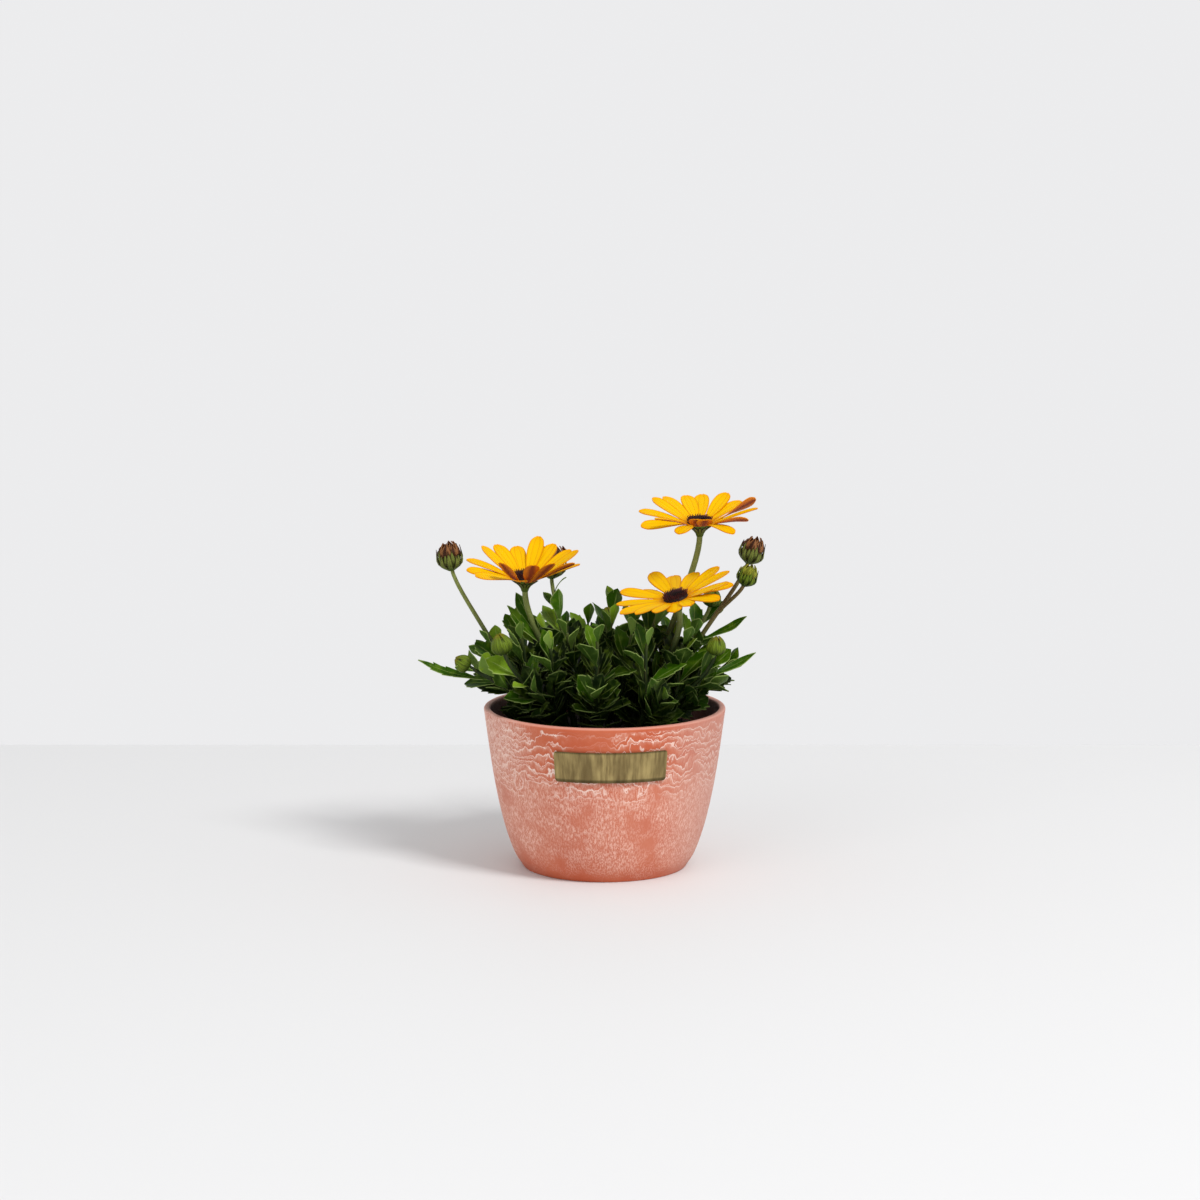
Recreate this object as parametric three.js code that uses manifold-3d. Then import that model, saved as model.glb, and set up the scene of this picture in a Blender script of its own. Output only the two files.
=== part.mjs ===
// A potted African daisy: a small balcony flower in a round planter with a bare name plate.
// Millimetres, +Z up. The origin is the middle of the planter's flat base and the plate faces -Y.
import * as THREE from 'three';
import { mergeVertices } from 'three/addons/utils/BufferGeometryUtils.js';
import Module from 'manifold-3d';

const wasm = await Module();
wasm.setup();

// The planter: a low tapered round pot with a flat base.
const POT_HEIGHT = 100;
const RIM_RADIUS = 75;
const POT_WALL = 4.1;
const POT_FLOOR = 6;
const POT_SEGMENTS = 32;
// Height and outside radius, from the base to just under the rim.
const POT_SIDE = [[0.8, 51.4], [8, 56], [22, 61.2], [40, 65.8], [64, 70.2], [98.6, RIM_RADIUS]];
const RIM_EDGE = 0.8;
// The inside runs straight between these heights, down to a round corner of this radius at the floor.
const INNER_HEIGHTS = [22, 98.6];
const INNER_FLOOR_RADIUS = 46;

// Meshes that face each other keep this gap.
const GAP = 0.3;

// The soil stands this far below the rim, and its surface is this uneven.
const SOIL_TOP = 84;
const SOIL_BUMP = 1.4;
const SOIL_SEGMENTS = 16;
const SOIL_RINGS = [56, 30];

// Stems stand in holes in the soil, their feet at this height and this far apart.
const ROOT_HEIGHT = 74.3;
const HOLE_ROOM = 0.45;

// The name plate follows the planter's front.
const PLATE_WIDTH = 69;
const PLATE_LOW = 67.2;
const PLATE_HEIGHT = 18;
const PLATE_THICK = 1;
const PLATE_CORNER = 2;
const PLATE_TURN = 3;
const PLATE_COLUMNS = 14;

// Open flowers: rays around a disc, on a flared green cup.
const RAY_COUNT = 16;
const RAY_LENGTH = 28.5;
const RAY_WIDTH = 10;
const RAY_FOLD = 0.1;
const DISC_RADIUS = 7.9;
const DISC_SEGMENTS = 16;
const FLORET_RISE = 0.9;
const RING_INNER = 8.2;
const RING_OUTER = 9.8;
const CUP_DEPTH = 8;
const CUP_BRACTS = 9;

// Buds: bracts round the cup and furled petals in it, on profiles that are drawn for this radius.
const BUD_RADIUS = 7;
const BUD_BRACTS = 8;
const BUD_PETALS = 7;
const BUD_CUP_TOP = 7.6;
const RIB_GROOVE = 0.1;

// Blades are lens-shaped across, this thick along the middle.
const LEAF_THICK = 0.9;
const RAY_THICK = 0.9;
// Blades of different stems stay this far apart.
const CLEARANCE = 0.12;
// Leaves stand on the faces of a square stem, which lie at this turn and every quarter turn from it.
const FACE_TURN = 45;
// A leaf's root lies this share of its stem's radius from the stem's middle.
const LEAF_SEAT = 0.62;
// Leaves of one stem may touch below this share of their length.
const LEAF_FREE = 0.3;
// Leaves stay above the soil, and higher where they reach over the rim.
const LOWEST_LEAF = 87;
const LOWEST_OVER_RIM = 110;
const RIM_ZONE = 66;

// Outlines: distance along the blade and half width there, as shares of length and half width.
const OUTLINES = {
  toothed: [[0, 0], [0.32, 0.5], [0.58, 1], [0.65, 0.8], [0.82, 0.7], [1, 0]],
  shouldered: [[0, 0], [0.34, 0.54], [0.64, 1], [0.72, 0.74], [1, 0]],
  young: [[0, 0], [0.4, 0.66], [0.7, 1], [1, 0]],
  ray: [[0, 0], [0.3, 0.8], [0.65, 1], [0.92, 0.74], [1, 0]],
};

const LEAF_GREEN = 0x2f6b1f;
const RAY_YELLOW = 0xffb400;
const DISC_PURPLE = 0x2c1210;
const TIP_PURPLE = 0x5a2f2a;
const TIP_GREEN = 0x9a9a2e;
const TERRACOTTA = 0xd9775b;
const BRASS = 0x8c8050;
const SOIL_BROWN = 0x2a1d15;

// Stems: radii at foot and tip, sides and straight steps of each kind.
const FLOWER_STALK = { radii: [2.1, 1.8], sides: 4, steps: 6 };
const BUD_STALK = { radii: [1.6, 1.2], sides: 4, steps: 6 };
const FORKED_STALK = { radii: [1.8, 1.2], sides: 4, steps: 6 };
const FORKED_BRANCH = { radii: [1.3, 1.2], sides: 4, steps: 3 };
const LEAFY_STALK = { radii: [1.8, 1.1], sides: 4, steps: 4 };
const LEAFY_BRANCH = { radii: [1.4, 1], sides: 4, steps: 3 };
// Stems that fork do so at this share of their length.
const FORK_SHARE = 0.62;
const RING_FORK = 0.36;

const UP = new THREE.Vector3(0, 0, 1);
const radians = THREE.MathUtils.degToRad;

// A linear congruential generator, so that each stem grows the same way every time.
function seeded(seed) {
  let state = seed;
  return () => {
    state = (state * 1664525 + 1013904223) % 4294967296;
    return state / 4294967296;
  };
}

// Solids

function solidOf(geometry) {
  const bare = geometry.clone();
  bare.deleteAttribute('normal');
  bare.deleteAttribute('uv');
  const merged = mergeVertices(bare);
  const corners = merged.getIndex().array;
  const kept = [];
  for (let k = 0; k < corners.length; k += 3) {
    const [a, b, c] = [corners[k], corners[k + 1], corners[k + 2]];
    if (a !== b && b !== c && c !== a) kept.push(a, b, c);
  }
  const vertProperties = new Float32Array(merged.getAttribute('position').array);
  const triVerts = new Uint32Array(kept);
  return new wasm.Manifold(new wasm.Mesh({ numProp: 3, vertProperties, triVerts }));
}

// Corners closer together than this become one where solids are joined.
const JOIN_TOLERANCE = 0.004;

function unite(solids) {
  return wasm.Manifold.union(solids).simplify(JOIN_TOLERANCE);
}

function geometryOf(solid) {
  const mesh = solid.getMesh();
  const geometry = new THREE.BufferGeometry();
  geometry.setAttribute('position', new THREE.BufferAttribute(mesh.vertProperties, 3));
  geometry.setIndex(new THREE.BufferAttribute(mesh.triVerts, 1));
  geometry.computeVertexNormals();
  return geometry;
}

// A turned solid about +Z, from a closed or axis-to-axis profile of [radius, height] points.
function turned(profile, segments) {
  const points = profile.map(([radius, height]) => new THREE.Vector2(radius, height));
  return new THREE.LatheGeometry(points, segments).rotateX(Math.PI / 2);
}

// Moves every vertex of a geometry by a function of its position.
function reshaped(geometry, move) {
  const place = geometry.getAttribute('position');
  const point = new THREE.Vector3();
  for (let k = 0; k < place.count; k += 1) {
    point.fromBufferAttribute(place, k);
    move(point);
    place.setXYZ(k, point.x, point.y, point.z);
  }
  return geometry;
}

// The direction at an angle from one unit vector towards another that is square to it.
function turnedFrom(start, towards, angle) {
  return start.clone().multiplyScalar(Math.cos(angle)).addScaledVector(towards, Math.sin(angle));
}

// The point, across and up directions of a blade at share s of its length.
// The frame has root, along and normal; the blade bends away from its normal.
function bladeStation(frame, shape, s) {
  const angle = shape.bend * s;
  const across = new THREE.Vector3().crossVectors(frame.along, frame.normal);
  const flat = Math.abs(shape.bend) < 1e-6;
  const forward = flat ? s : Math.sin(angle) / shape.bend;
  const drop = flat ? 0 : (1 - Math.cos(angle)) / shape.bend;
  const point = frame.root.clone()
    .addScaledVector(frame.along, forward * shape.length)
    .addScaledVector(frame.normal, -drop * shape.length);
  const raised = turnedFrom(frame.normal, frame.along, angle);
  const turn = shape.twist * s;
  const side = turnedFrom(across, raised, turn);
  const lift = turnedFrom(raised, across, -turn);
  return { point, side, lift };
}

// A closed thin blade: an upper and a lower sheet with the same triangles, joined along the outline.
function blade(frame, shape) {
  const rows = shape.outline.length - 1;
  const half = shape.width / 2;
  const sheets = [1, -1].map((face) => {
    const sheet = new THREE.PlaneGeometry(2, 1, 2, rows);
    const place = sheet.getAttribute('position');
    for (let row = 0; row <= rows; row += 1) {
      const [s, share] = shape.outline[row];
      const station = bladeStation(frame, shape, s);
      for (let column = -1; column <= 1; column += 1) {
        const reach = column * share * half;
        const inside = column === 0 && row > 0 && row < rows;
        const rise = shape.fold * Math.abs(reach) + (inside ? face * shape.thick / 2 : 0);
        const point = station.point.clone()
          .addScaledVector(station.side, reach)
          .addScaledVector(station.lift, rise);
        place.setXYZ(row * 3 + column + 1, point.x, point.y, point.z);
      }
    }
    if (face > 0) sheet.getIndex().array.reverse();
    return sheet;
  });
  const both = new THREE.BufferGeometry();
  const upper = sheets[0].getAttribute('position').array;
  const lower = sheets[1].getAttribute('position').array;
  both.setAttribute('position', new THREE.BufferAttribute(Float32Array.of(...upper, ...lower), 3));
  const shift = upper.length / 3;
  const lowerIndex = Array.from(sheets[1].getIndex().array, (corner) => corner + shift);
  both.setIndex([...sheets[0].getIndex().array, ...lowerIndex]);
  return solidOf(both);
}

// Across and up directions round a stem whose direction is given.
function stemFrame(direction) {
  const side = new THREE.Vector3(0, 1, 0).cross(direction).normalize();
  const up = new THREE.Vector3().crossVectors(side, direction);
  return { side, up };
}

// A tapered stem along a curve, which its straight steps follow.
function stalk({ curve, radii, sides, steps }) {
  const tube = new THREE.CylinderGeometry(1, 1, 1, sides, steps);
  reshaped(tube, (point) => {
    const t = point.y + 0.5;
    const { side, up } = stemFrame(curve.getTangent(t));
    const radius = THREE.MathUtils.lerp(radii[0], radii[1], t);
    const [x, z] = [point.x, point.z];
    point.copy(curve.getPoint(t)).addScaledVector(side, x * radius).addScaledVector(up, z * radius);
  });
  return solidOf(tube);
}

// The middle of a stem at share t of its length, on its straight steps.
function stemMiddle({ curve, steps }, t) {
  const step = Math.min(Math.floor(t * steps), steps - 1);
  return curve.getPoint(step / steps).lerp(curve.getPoint((step + 1) / steps), t * steps - step);
}

// A stem curve from a root, straight up at first, to an end that it reaches along a direction.
function stemCurve(start, rise, end, direction, run) {
  const first = start.clone().addScaledVector(rise, start.distanceTo(end) * 0.35);
  const second = end.clone().addScaledVector(direction, -run);
  return new THREE.CubicBezierCurve3(start, first, second, end);
}

// Turns a solid built about +Z to stand at a point along a direction.
function standing(solid, point, direction) {
  const turn = new THREE.Quaternion().setFromUnitVectors(UP, direction);
  const place = new THREE.Matrix4().compose(point, turn, new THREE.Vector3(1, 1, 1));
  return solid.transform(place.elements);
}

// The daisy's pieces, with the solids that leaves of other stems have to stay clear of.
const daisy = new THREE.Group();
const obstacles = [];
const stems = [];

function add(name, solid, color, roughness, metalness = 0) {
  const material = new THREE.MeshStandardMaterial({ color, roughness, metalness });
  const mesh = new THREE.Mesh(geometryOf(solid), material);
  mesh.name = name;
  daisy.add(mesh);
}

function blocks(owner, solid) {
  obstacles.push({ owner, solid, box: solid.boundingBox() });
}

function boxesMeet(a, b) {
  return [0, 1, 2].every((axis) => a.min[axis] < b.max[axis] && b.min[axis] < a.max[axis]);
}

// Leaves

// Turn round the stem, extra opening and size of each place that a leaf may take, in this order.
const LEAF_TRIES = [
  [0, 0, 1], [22, 0, 1], [-22, 0, 1], [0, 14, 1], [0, -12, 1], [42, 6, 1], [-42, 6, 1],
  [18, 24, 0.92], [-18, 24, 0.92], [64, 0, 0.9], [-64, 0, 0.9], [0, -24, 0.85],
  [32, -18, 0.8], [-32, -18, 0.8], [90, 10, 0.75], [-90, 10, 0.75], [0, 34, 0.7], [130, 0, 0.7],
];

// The leaves of one shoot, from the lowest: each has its share along the shoot and its blade's shape.
function leafPlan(shoot) {
  const random = seeded(shoot.seed);
  const start = random() * 360;
  const plan = [];
  for (let k = 0; k < shoot.leaves; k += 1) {
    const share = shoot.leaves > 1 ? k / (shoot.leaves - 1) : 1;
    const draws = [random(), random(), random(), random(), random(), random()];
    const growth = 0.86 + 0.55 * share - 0.93 * share * share;
    const length = shoot.size * growth * (0.92 + 0.16 * draws[0]);
    let kind = 'young';
    if (share < 0.8) kind = 'shouldered';
    if (share < 0.3) kind = 'toothed';
    plan.push({
      t: shoot.from + (shoot.to - shoot.from) * share,
      turn: FACE_TURN + 90 * Math.round((start + 137.5 * k) / 90) + 16 * (draws[1] - 0.5),
      open: 56 - 36 * share + 16 * (draws[2] - 0.5),
      outline: OUTLINES[kind],
      length,
      width: length * (0.56 + 0.08 * draws[3]),
      bend: 0.45 - 0.7 * share + 0.5 * (draws[4] - 0.5),
      twist: 0.6 * (draws[5] - 0.5),
      fold: 0.16 + 0.2 * share,
      thick: LEAF_THICK,
    });
  }
  return plan;
}

// Where a leaf stands on its shoot in one of its tries.
function leafFrame({ form }, leaf, [turn, open]) {
  const tangent = form.curve.getTangent(leaf.t);
  const { side, up } = stemFrame(tangent);
  const round = radians(leaf.turn + turn);
  const outward = side.multiplyScalar(Math.cos(round)).addScaledVector(up, Math.sin(round));
  const opening = radians(Math.max(leaf.open + open, 8));
  const along = turnedFrom(tangent, outward, opening);
  const normal = turnedFrom(outward.clone().negate(), tangent, opening);
  const seat = LEAF_SEAT * THREE.MathUtils.lerp(form.radii[0], form.radii[1], leaf.t);
  const root = stemMiddle(form, leaf.t).addScaledVector(outward, seat);
  return { root, along, normal };
}

// The part of a blade beyond a share of its length, where it may not touch its own stem's leaves.
function beyond(outline, share) {
  return outline.filter(([s]) => s >= share);
}

function isLow(solid) {
  if (solid.boundingBox().min[2] > LOWEST_OVER_RIM) return false;
  const { vertProperties } = solid.getMesh();
  for (let k = 0; k < vertProperties.length; k += 3) {
    const isOut = Math.hypot(vertProperties[k], vertProperties[k + 1]) > RIM_ZONE;
    if (vertProperties[k + 2] < (isOut ? LOWEST_OVER_RIM : LOWEST_LEAF)) return true;
  }
  return false;
}

// A leaf by itself, from a stem's middle to the place of its tip, rolled about that line.
function singleLeaf({ form }, { t, tip, width, bend, roll, outline }) {
  const root = stemMiddle(form, t);
  const chord = vector(tip).sub(root);
  const span = chord.length();
  chord.normalize();
  const rise = UP.clone().addScaledVector(chord, -UP.dot(chord)).normalize();
  rise.applyAxisAngle(chord, radians(roll));
  const along = turnedFrom(chord, rise, bend / 2);
  const normal = turnedFrom(rise, chord, -bend / 2);
  const length = span * (bend / 2) / Math.sin(bend / 2);
  return blade({ root, along, normal }, {
    outline: OUTLINES[outline], length, width, bend, twist: 0, fold: 0.25, thick: LEAF_THICK,
  });
}

function growLeaves(owner, shoot) {
  const grown = [];
  for (const leaf of leafPlan(shoot)) {
    for (const attempt of LEAF_TRIES) {
      const frame = leafFrame(shoot, leaf, attempt);
      const shape = { ...leaf, length: leaf.length * attempt[2], width: leaf.width * attempt[2] };
      const padded = {
        ...shape,
        width: shape.width + 2 * CLEARANCE,
        thick: LEAF_THICK + 2 * CLEARANCE,
      };
      const whole = blade(frame, padded);
      if (isLow(whole)) continue;
      const outer = blade(frame, { ...padded, outline: beyond(leaf.outline, LEAF_FREE) });
      const box = whole.boundingBox();
      const near = obstacles.filter((other) => boxesMeet(box, other.box));
      const crosses = near.some((other) => {
        if (other.owner !== owner) return !whole.intersect(other.solid).isEmpty();
        return Boolean(other.outer) && !outer.intersect(other.outer).isEmpty();
      });
      if (crosses) continue;
      const solid = blade(frame, shape);
      const own = blade(frame, { ...shape, outline: beyond(leaf.outline, LEAF_FREE) });
      obstacles.push({ owner, solid, outer: own, box: solid.boundingBox() });
      grown.push(solid);
      break;
    }
  }
  return grown;
}

// The planter

function potRadius(height) {
  const side = POT_SIDE;
  let k = 1;
  while (k < side.length - 1 && side[k][0] < height) k += 1;
  const [[lowHeight, lowRadius], [highHeight, highRadius]] = [side[k - 1], side[k]];
  return THREE.MathUtils.mapLinear(height, lowHeight, highHeight, lowRadius, highRadius);
}

function innerRadius(height) {
  const [low, high] = INNER_HEIGHTS;
  return THREE.MathUtils.mapLinear(height, low, high, potRadius(low), potRadius(high)) - POT_WALL;
}

function pot() {
  const outside = POT_SIDE.map(([height, radius]) => [radius, height]);
  const inside = INNER_HEIGHTS.toReversed().map((height) => [innerRadius(height), height]);
  const innerRim = RIM_RADIUS - POT_WALL;
  return solidOf(turned([
    [0, 0], [POT_SIDE[0][1] - RIM_EDGE, 0],
    ...outside,
    [RIM_RADIUS - RIM_EDGE, POT_HEIGHT], [innerRim + RIM_EDGE, POT_HEIGHT],
    ...inside,
    [INNER_FLOOR_RADIUS, POT_FLOOR], [0, POT_FLOOR],
  ], POT_SEGMENTS));
}

// A thin plate bent round the planter, with round corners.
function namePlate() {
  const plate = new THREE.BoxGeometry(2, PLATE_HEIGHT, PLATE_THICK, PLATE_COLUMNS, 1, 1);
  const halfWidth = PLATE_WIDTH / 2;
  const middle = PLATE_LOW + PLATE_HEIGHT / 2;
  reshaped(plate, (point) => {
    // The outer columns crowd towards the ends, where the corners are round.
    const share = Math.sign(point.x) * Math.sin(Math.abs(point.x) * Math.PI / 2) ** 0.8;
    const inset = Math.max(0, Math.abs(share) * halfWidth - (halfWidth - PLATE_CORNER));
    const cut = PLATE_CORNER - Math.sqrt(Math.max(0, PLATE_CORNER ** 2 - inset ** 2));
    const height = middle + Math.sign(point.y) * (PLATE_HEIGHT / 2 - cut);
    const radius = potRadius(height) + GAP + PLATE_THICK / 2 + point.z;
    const angle = radians(PLATE_TURN - 90) + share * halfWidth / potRadius(middle);
    point.set(radius * Math.cos(angle), radius * Math.sin(angle), height);
  });
  return solidOf(plate);
}

function soil(holes) {
  const random = seeded(7);
  const wall = [INNER_HEIGHTS[0], SOIL_TOP - 1].map((height) => [innerRadius(height) - 2 * GAP, height]);
  const rings = SOIL_RINGS.map((radius) => [radius, SOIL_TOP]);
  const floor = [[0, POT_FLOOR + GAP], [INNER_FLOOR_RADIUS - 1, POT_FLOOR + GAP]];
  const body = turned([...floor, ...wall, ...rings, [0, SOIL_TOP]], SOIL_SEGMENTS);
  const bumps = new Map();
  reshaped(body, (point) => {
    if (point.z < SOIL_TOP - 0.5) return;
    const key = `${point.x.toFixed(1)} ${point.y.toFixed(1)}`.replace(/-0\.0/g, '0.0');
    if (!bumps.has(key)) bumps.set(key, (random() - 0.5) * 2 * SOIL_BUMP);
    point.z += bumps.get(key);
  });
  return solidOf(body).subtract(unite(holes));
}

// Flowers and buds

// A flower's head: the place of its disc, the direction that it faces and its rays' rise in degrees.
// Some rays differ: their number has its own rise, bend, share of length and twist.
const FLOWERS = [
  { name: 'bloom_a', at: [-49, -8, 181.6], facing: [0.02, -0.13, 1], rise: 29, turn: -10, seed: 11,
    root: [-17, -6], shoot: { from: 0.36, to: 0.66, leaves: 5, size: 28, seed: 101 },
    odd: { 4: [34, -0.1, 1.06, 0], 9: [16, 0.1, 1, 0.3], 10: [15, 0.1, 0.94, 0.3],
      11: [37, -0.2, 0.78, 0.1], 12: [18, 0, 0.3, 0], 13: [40, -0.3, 0.66, 0],
      14: [36, -0.1, 0.9, 0], 15: [30, 0, 1.04, 0.35] } },
  { name: 'bloom_b', at: [58.6, 5, 214], facing: [-0.02, -0.1, 1], rise: 25, turn: -7, seed: 23,
    root: [24, 10], shoot: { from: 0.2, to: 0.44, leaves: 5, size: 28, seed: 102 },
    odd: { 1: [22, -0.1, 1.06, 1.1], 8: [20, 0.2, 1.04, 0.2], 9: [4, 0.1, 1, 0.5], 11: [8, 0.5, 0.58, 0],
      12: [32, -0.6, 0.26, 0], 13: [28, -0.6, 0.26, 0], 14: [10, 0.5, 0.8, 0],
      15: [16, 0.1, 0.92, 0.6] } },
  { name: 'bloom_c', at: [43.4, -25, 171.8], facing: [-0.25, -0.2, 1], rise: 10, turn: -3, seed: 37,
    root: [18, -17], shoot: { from: 0.24, to: 0.5, leaves: 5, size: 27, seed: 103 },
    odd: { 3: [8, 0.1, 0.88, 0], 9: [8, 0.1, 0.98, 0.1], 10: [14, 0.2, 0.86, 0], 11: [14, 0.2, 0.7, 0],
      12: [6, 0.3, 0.48, 0], 13: [10, 0.3, 0.46, 0] } },
];

function rays(flower) {
  const random = seeded(flower.seed);
  const blades = [];
  for (let k = 0; k < RAY_COUNT; k += 1) {
    const draws = [random(), random(), random(), random(), random()];
    const [rise, bend, share, twist] = flower.odd[k] ?? [
      flower.rise + 8 * (draws[0] - 0.5) + (k % 2 ? 2 : -2),
      0.1 + 0.3 * (draws[1] - 0.5),
      0.94 + 0.12 * draws[2],
      0.3 * (draws[4] - 0.5),
    ];
    const round = radians(flower.turn + k * 360 / RAY_COUNT + 7 * (draws[3] - 0.5));
    const outward = new THREE.Vector3(Math.cos(round), Math.sin(round), 0);
    const tilt = radians(rise);
    const along = outward.clone().multiplyScalar(Math.cos(tilt)).addScaledVector(UP, Math.sin(tilt));
    const normal = UP.clone().multiplyScalar(Math.cos(tilt)).addScaledVector(outward, -Math.sin(tilt));
    const root = outward.clone().multiplyScalar((RING_INNER + RING_OUTER) / 2);
    blades.push(blade({ root, along, normal }, {
      outline: OUTLINES.ray, length: RAY_LENGTH * share, width: RAY_WIDTH,
      bend, twist, fold: RAY_FOLD, thick: RAY_THICK,
    }));
  }
  const ring = solidOf(turned([
    [RING_INNER, -0.9], [RING_OUTER, -0.6], [RING_OUTER, 0.6], [RING_INNER, 0.9], [RING_INNER, -0.9],
  ], RAY_COUNT));
  return unite([ring, ...blades]);
}

// The disc: a low dome with rings of florets as relief.
function disc() {
  const rings = [[DISC_RADIUS, 0.2], [6.9, 2.4], [4.8, 3.4], [2.4, 3.4]];
  const body = turned([[0, -0.9], [6.6, -0.9], ...rings, [0, 2.7]], DISC_SEGMENTS);
  reshaped(body, (point) => {
    if (point.z < 1) return;
    const radius = Math.hypot(point.x, point.y);
    if (radius < 1) return;
    const sector = Math.round(Math.atan2(point.x, -point.y) * DISC_SEGMENTS / (2 * Math.PI));
    const ring = rings.findIndex(([reach]) => Math.abs(reach - radius) < 0.01);
    if ((sector + ring) % 2 === 0) point.z += FLORET_RISE;
  });
  return solidOf(body);
}

// A ribbed cup about +Z: narrow bracts or petals side by side, whose pointed tips rise at the rim.
// The profile's point number rim is the rim; grooves between the ribs are a share of the radius deep.
function ribbed(profile, { ribs, groove, rim, tooth }) {
  const body = turned(profile, 2 * ribs);
  const [rimRadius, rimHeight] = profile[rim];
  return solidOf(reshaped(body, (point) => {
    const radius = Math.hypot(point.x, point.y);
    const sector = Math.round(Math.atan2(point.x, -point.y) * ribs / Math.PI);
    const isRib = sector % 2 === 0;
    const atRim = Math.abs(radius - rimRadius) < 0.01 && Math.abs(point.z - rimHeight) < 0.01;
    if (!isRib) {
      point.x *= 1 - groove;
      point.y *= 1 - groove;
    } else if (atRim) {
      point.z += tooth;
    }
  }));
}

// The flared green cup under an open flower, with its top just below the ring.
function flowerCup() {
  return ribbed([
    [0, -CUP_DEPTH], [2.1, -CUP_DEPTH], [2.9, -6], [5.8, -3.6], [9.2, -1.9], [0, -1.9],
  ], { ribs: CUP_BRACTS, groove: RIB_GROOVE, rim: 4, tooth: 0.6 });
}

// A profile that is drawn for a usual bud, for a bud of another radius.
function budProfile(radius, profile) {
  return profile.map((point) => point.map((size) => size * radius / BUD_RADIUS));
}

// A bud's green cup, standing on its foot; an open one's bracts stand free of the furled petals.
function openCup(radius) {
  const profile = [[0, 0], [4.8, 1.4], [7.3, 5], [6.9, BUD_CUP_TOP], [6, 7.2], [0, 6.8]];
  const tooth = 3 * radius / BUD_RADIUS;
  return ribbed(budProfile(radius, profile), { ribs: BUD_BRACTS, groove: RIB_GROOVE, rim: 3, tooth });
}

function closedCup(radius) {
  const profile = [[0, 0], [5, 1.8], [7.2, 5.4], [6, 9.4], [3.4, 12], [0, 11.4]];
  const tooth = 2 * radius / BUD_RADIUS;
  return ribbed(budProfile(radius, profile), { ribs: BUD_BRACTS, groove: RIB_GROOVE, rim: 4, tooth });
}

// The furled petals that stand out of an opening bud.
function budTips(radius) {
  const scale = radius / BUD_RADIUS;
  const profile = [[0, 0], [4.8, 0], [5.2, 3.2], [4, 6.4], [2.6, 4.4], [0, 5]];
  const petals = ribbed(budProfile(radius, profile), {
    ribs: BUD_PETALS, groove: 0.16, rim: 3, tooth: 2.8 * scale,
  });
  return petals.translate(0, 0, BUD_CUP_TOP * scale + GAP);
}

// Stems

function vector([x, y, z]) {
  return new THREE.Vector3(x, y, z);
}

// A stem's root in the soil.
function rootAt([x, y]) {
  return new THREE.Vector3(x, y, ROOT_HEIGHT);
}

// A stem's foot stands in a hole of its own, a little wider and deeper than the stem.
function holeFor(form) {
  const radii = form.radii.map((radius) => radius + HOLE_ROOM);
  return stalk({ ...form, radii }).translate(0, 0, -GAP);
}

// Notes a stem: its solids so far, and its shoots, whose leaves are grown once all stems stand.
// The first shoot's form is the stem's own.
function stem(name, parts, shoots) {
  for (const part of parts) blocks(name, part);
  stems.push({ name, hole: holeFor(shoots[0].form), parts, shoots });
}

// A flower: its rays, its disc, and its stem with the green cup and leaves on the lower part.
FLOWERS.forEach((flower) => {
  const facing = vector(flower.facing).normalize();
  const head = vector(flower.at);
  const end = head.clone().addScaledVector(facing, 0.5 - CUP_DEPTH);
  const curve = stemCurve(rootAt(flower.root), UP, end, facing, 26);
  const cup = standing(flowerCup(), head, facing);
  const form = { curve, ...FLOWER_STALK };
  stem(flower.name + '_stem', [stalk(form), cup], [{ form, ...flower.shoot }]);
  const ring = standing(rays(flower), head, facing);
  blocks(flower.name, ring);
  add(flower.name + '_rays', ring, RAY_YELLOW, 0.5);
  const middle = standing(disc(), head, facing);
  blocks(flower.name, middle);
  add(flower.name + '_disc', middle, DISC_PURPLE, 0.8);
});

// Buds: the foot and direction of each cup, its radius and the colour of what stands out of it.
const BUDS = [
  { name: 'bud_d', at: [-33.4, 35, 176.5], facing: [0.03, 0, 1], radius: 8.6, tips: TIP_PURPLE,
    root: [-12, 14], leaves: 6, size: 24 },
  { name: 'bud_e', at: [-94.6, 0, 186.4], facing: [-0.16, 0, 1], radius: 7.6, tips: TIP_PURPLE,
    root: [-46, -3], leaves: 6, size: 26, from: 0.25, to: 0.5 },
  { name: 'bud_h', at: [66, 20, 160], facing: [0.2, 0, 1], radius: 5.6,
    root: [20, 19], leaves: 6, size: 25 },
  { name: 'bud_i', at: [-61, -45, 141], facing: [-0.3, 0, 1], radius: 6.2,
    root: [-27, -17], leaves: 6, size: 26 },
  { name: 'bud_j', at: [-83, -25, 129], facing: [-0.9, 0, 0.55], radius: 5,
    root: [-31, -14], leaves: 6, size: 25 },
  { name: 'bud_k', at: [67.5, -30, 138], facing: [0.1, -0.1, 1], radius: 5.6,
    root: [26.5, -18.5], leaves: 6, size: 26 },
  { name: 'bud_l', at: [1.5, 15, 153], facing: [0, -0.2, 1], radius: 3.6,
    root: [2, 8], leaves: 6, size: 25 },
];

// The part of a bud's stem that goes into its cup.
const CUP_SEAT = 0.8;

function addTips(bud, foot, facing) {
  const tips = standing(budTips(bud.radius), foot, facing);
  blocks(bud.name, tips);
  add(bud.name + '_tips', tips, bud.tips, 0.6);
}

BUDS.forEach((bud, order) => {
  const facing = vector(bud.facing).normalize();
  const foot = vector(bud.at);
  const end = foot.clone().addScaledVector(facing, CUP_SEAT);
  const curve = stemCurve(rootAt(bud.root), UP, end, facing, 20);
  const cup = bud.tips ? openCup(bud.radius) : closedCup(bud.radius);
  const { from = 0.42, to = bud.tips ? 0.62 : 0.93, leaves, size } = bud;
  const form = { curve, ...BUD_STALK };
  const parts = [stalk(form), standing(cup, foot, facing)];
  stem(bud.name + '_stem', parts, [{ form, from, to, leaves, size, seed: 201 + order }]);
  if (bud.tips) addTips(bud, foot, facing);
});

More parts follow.
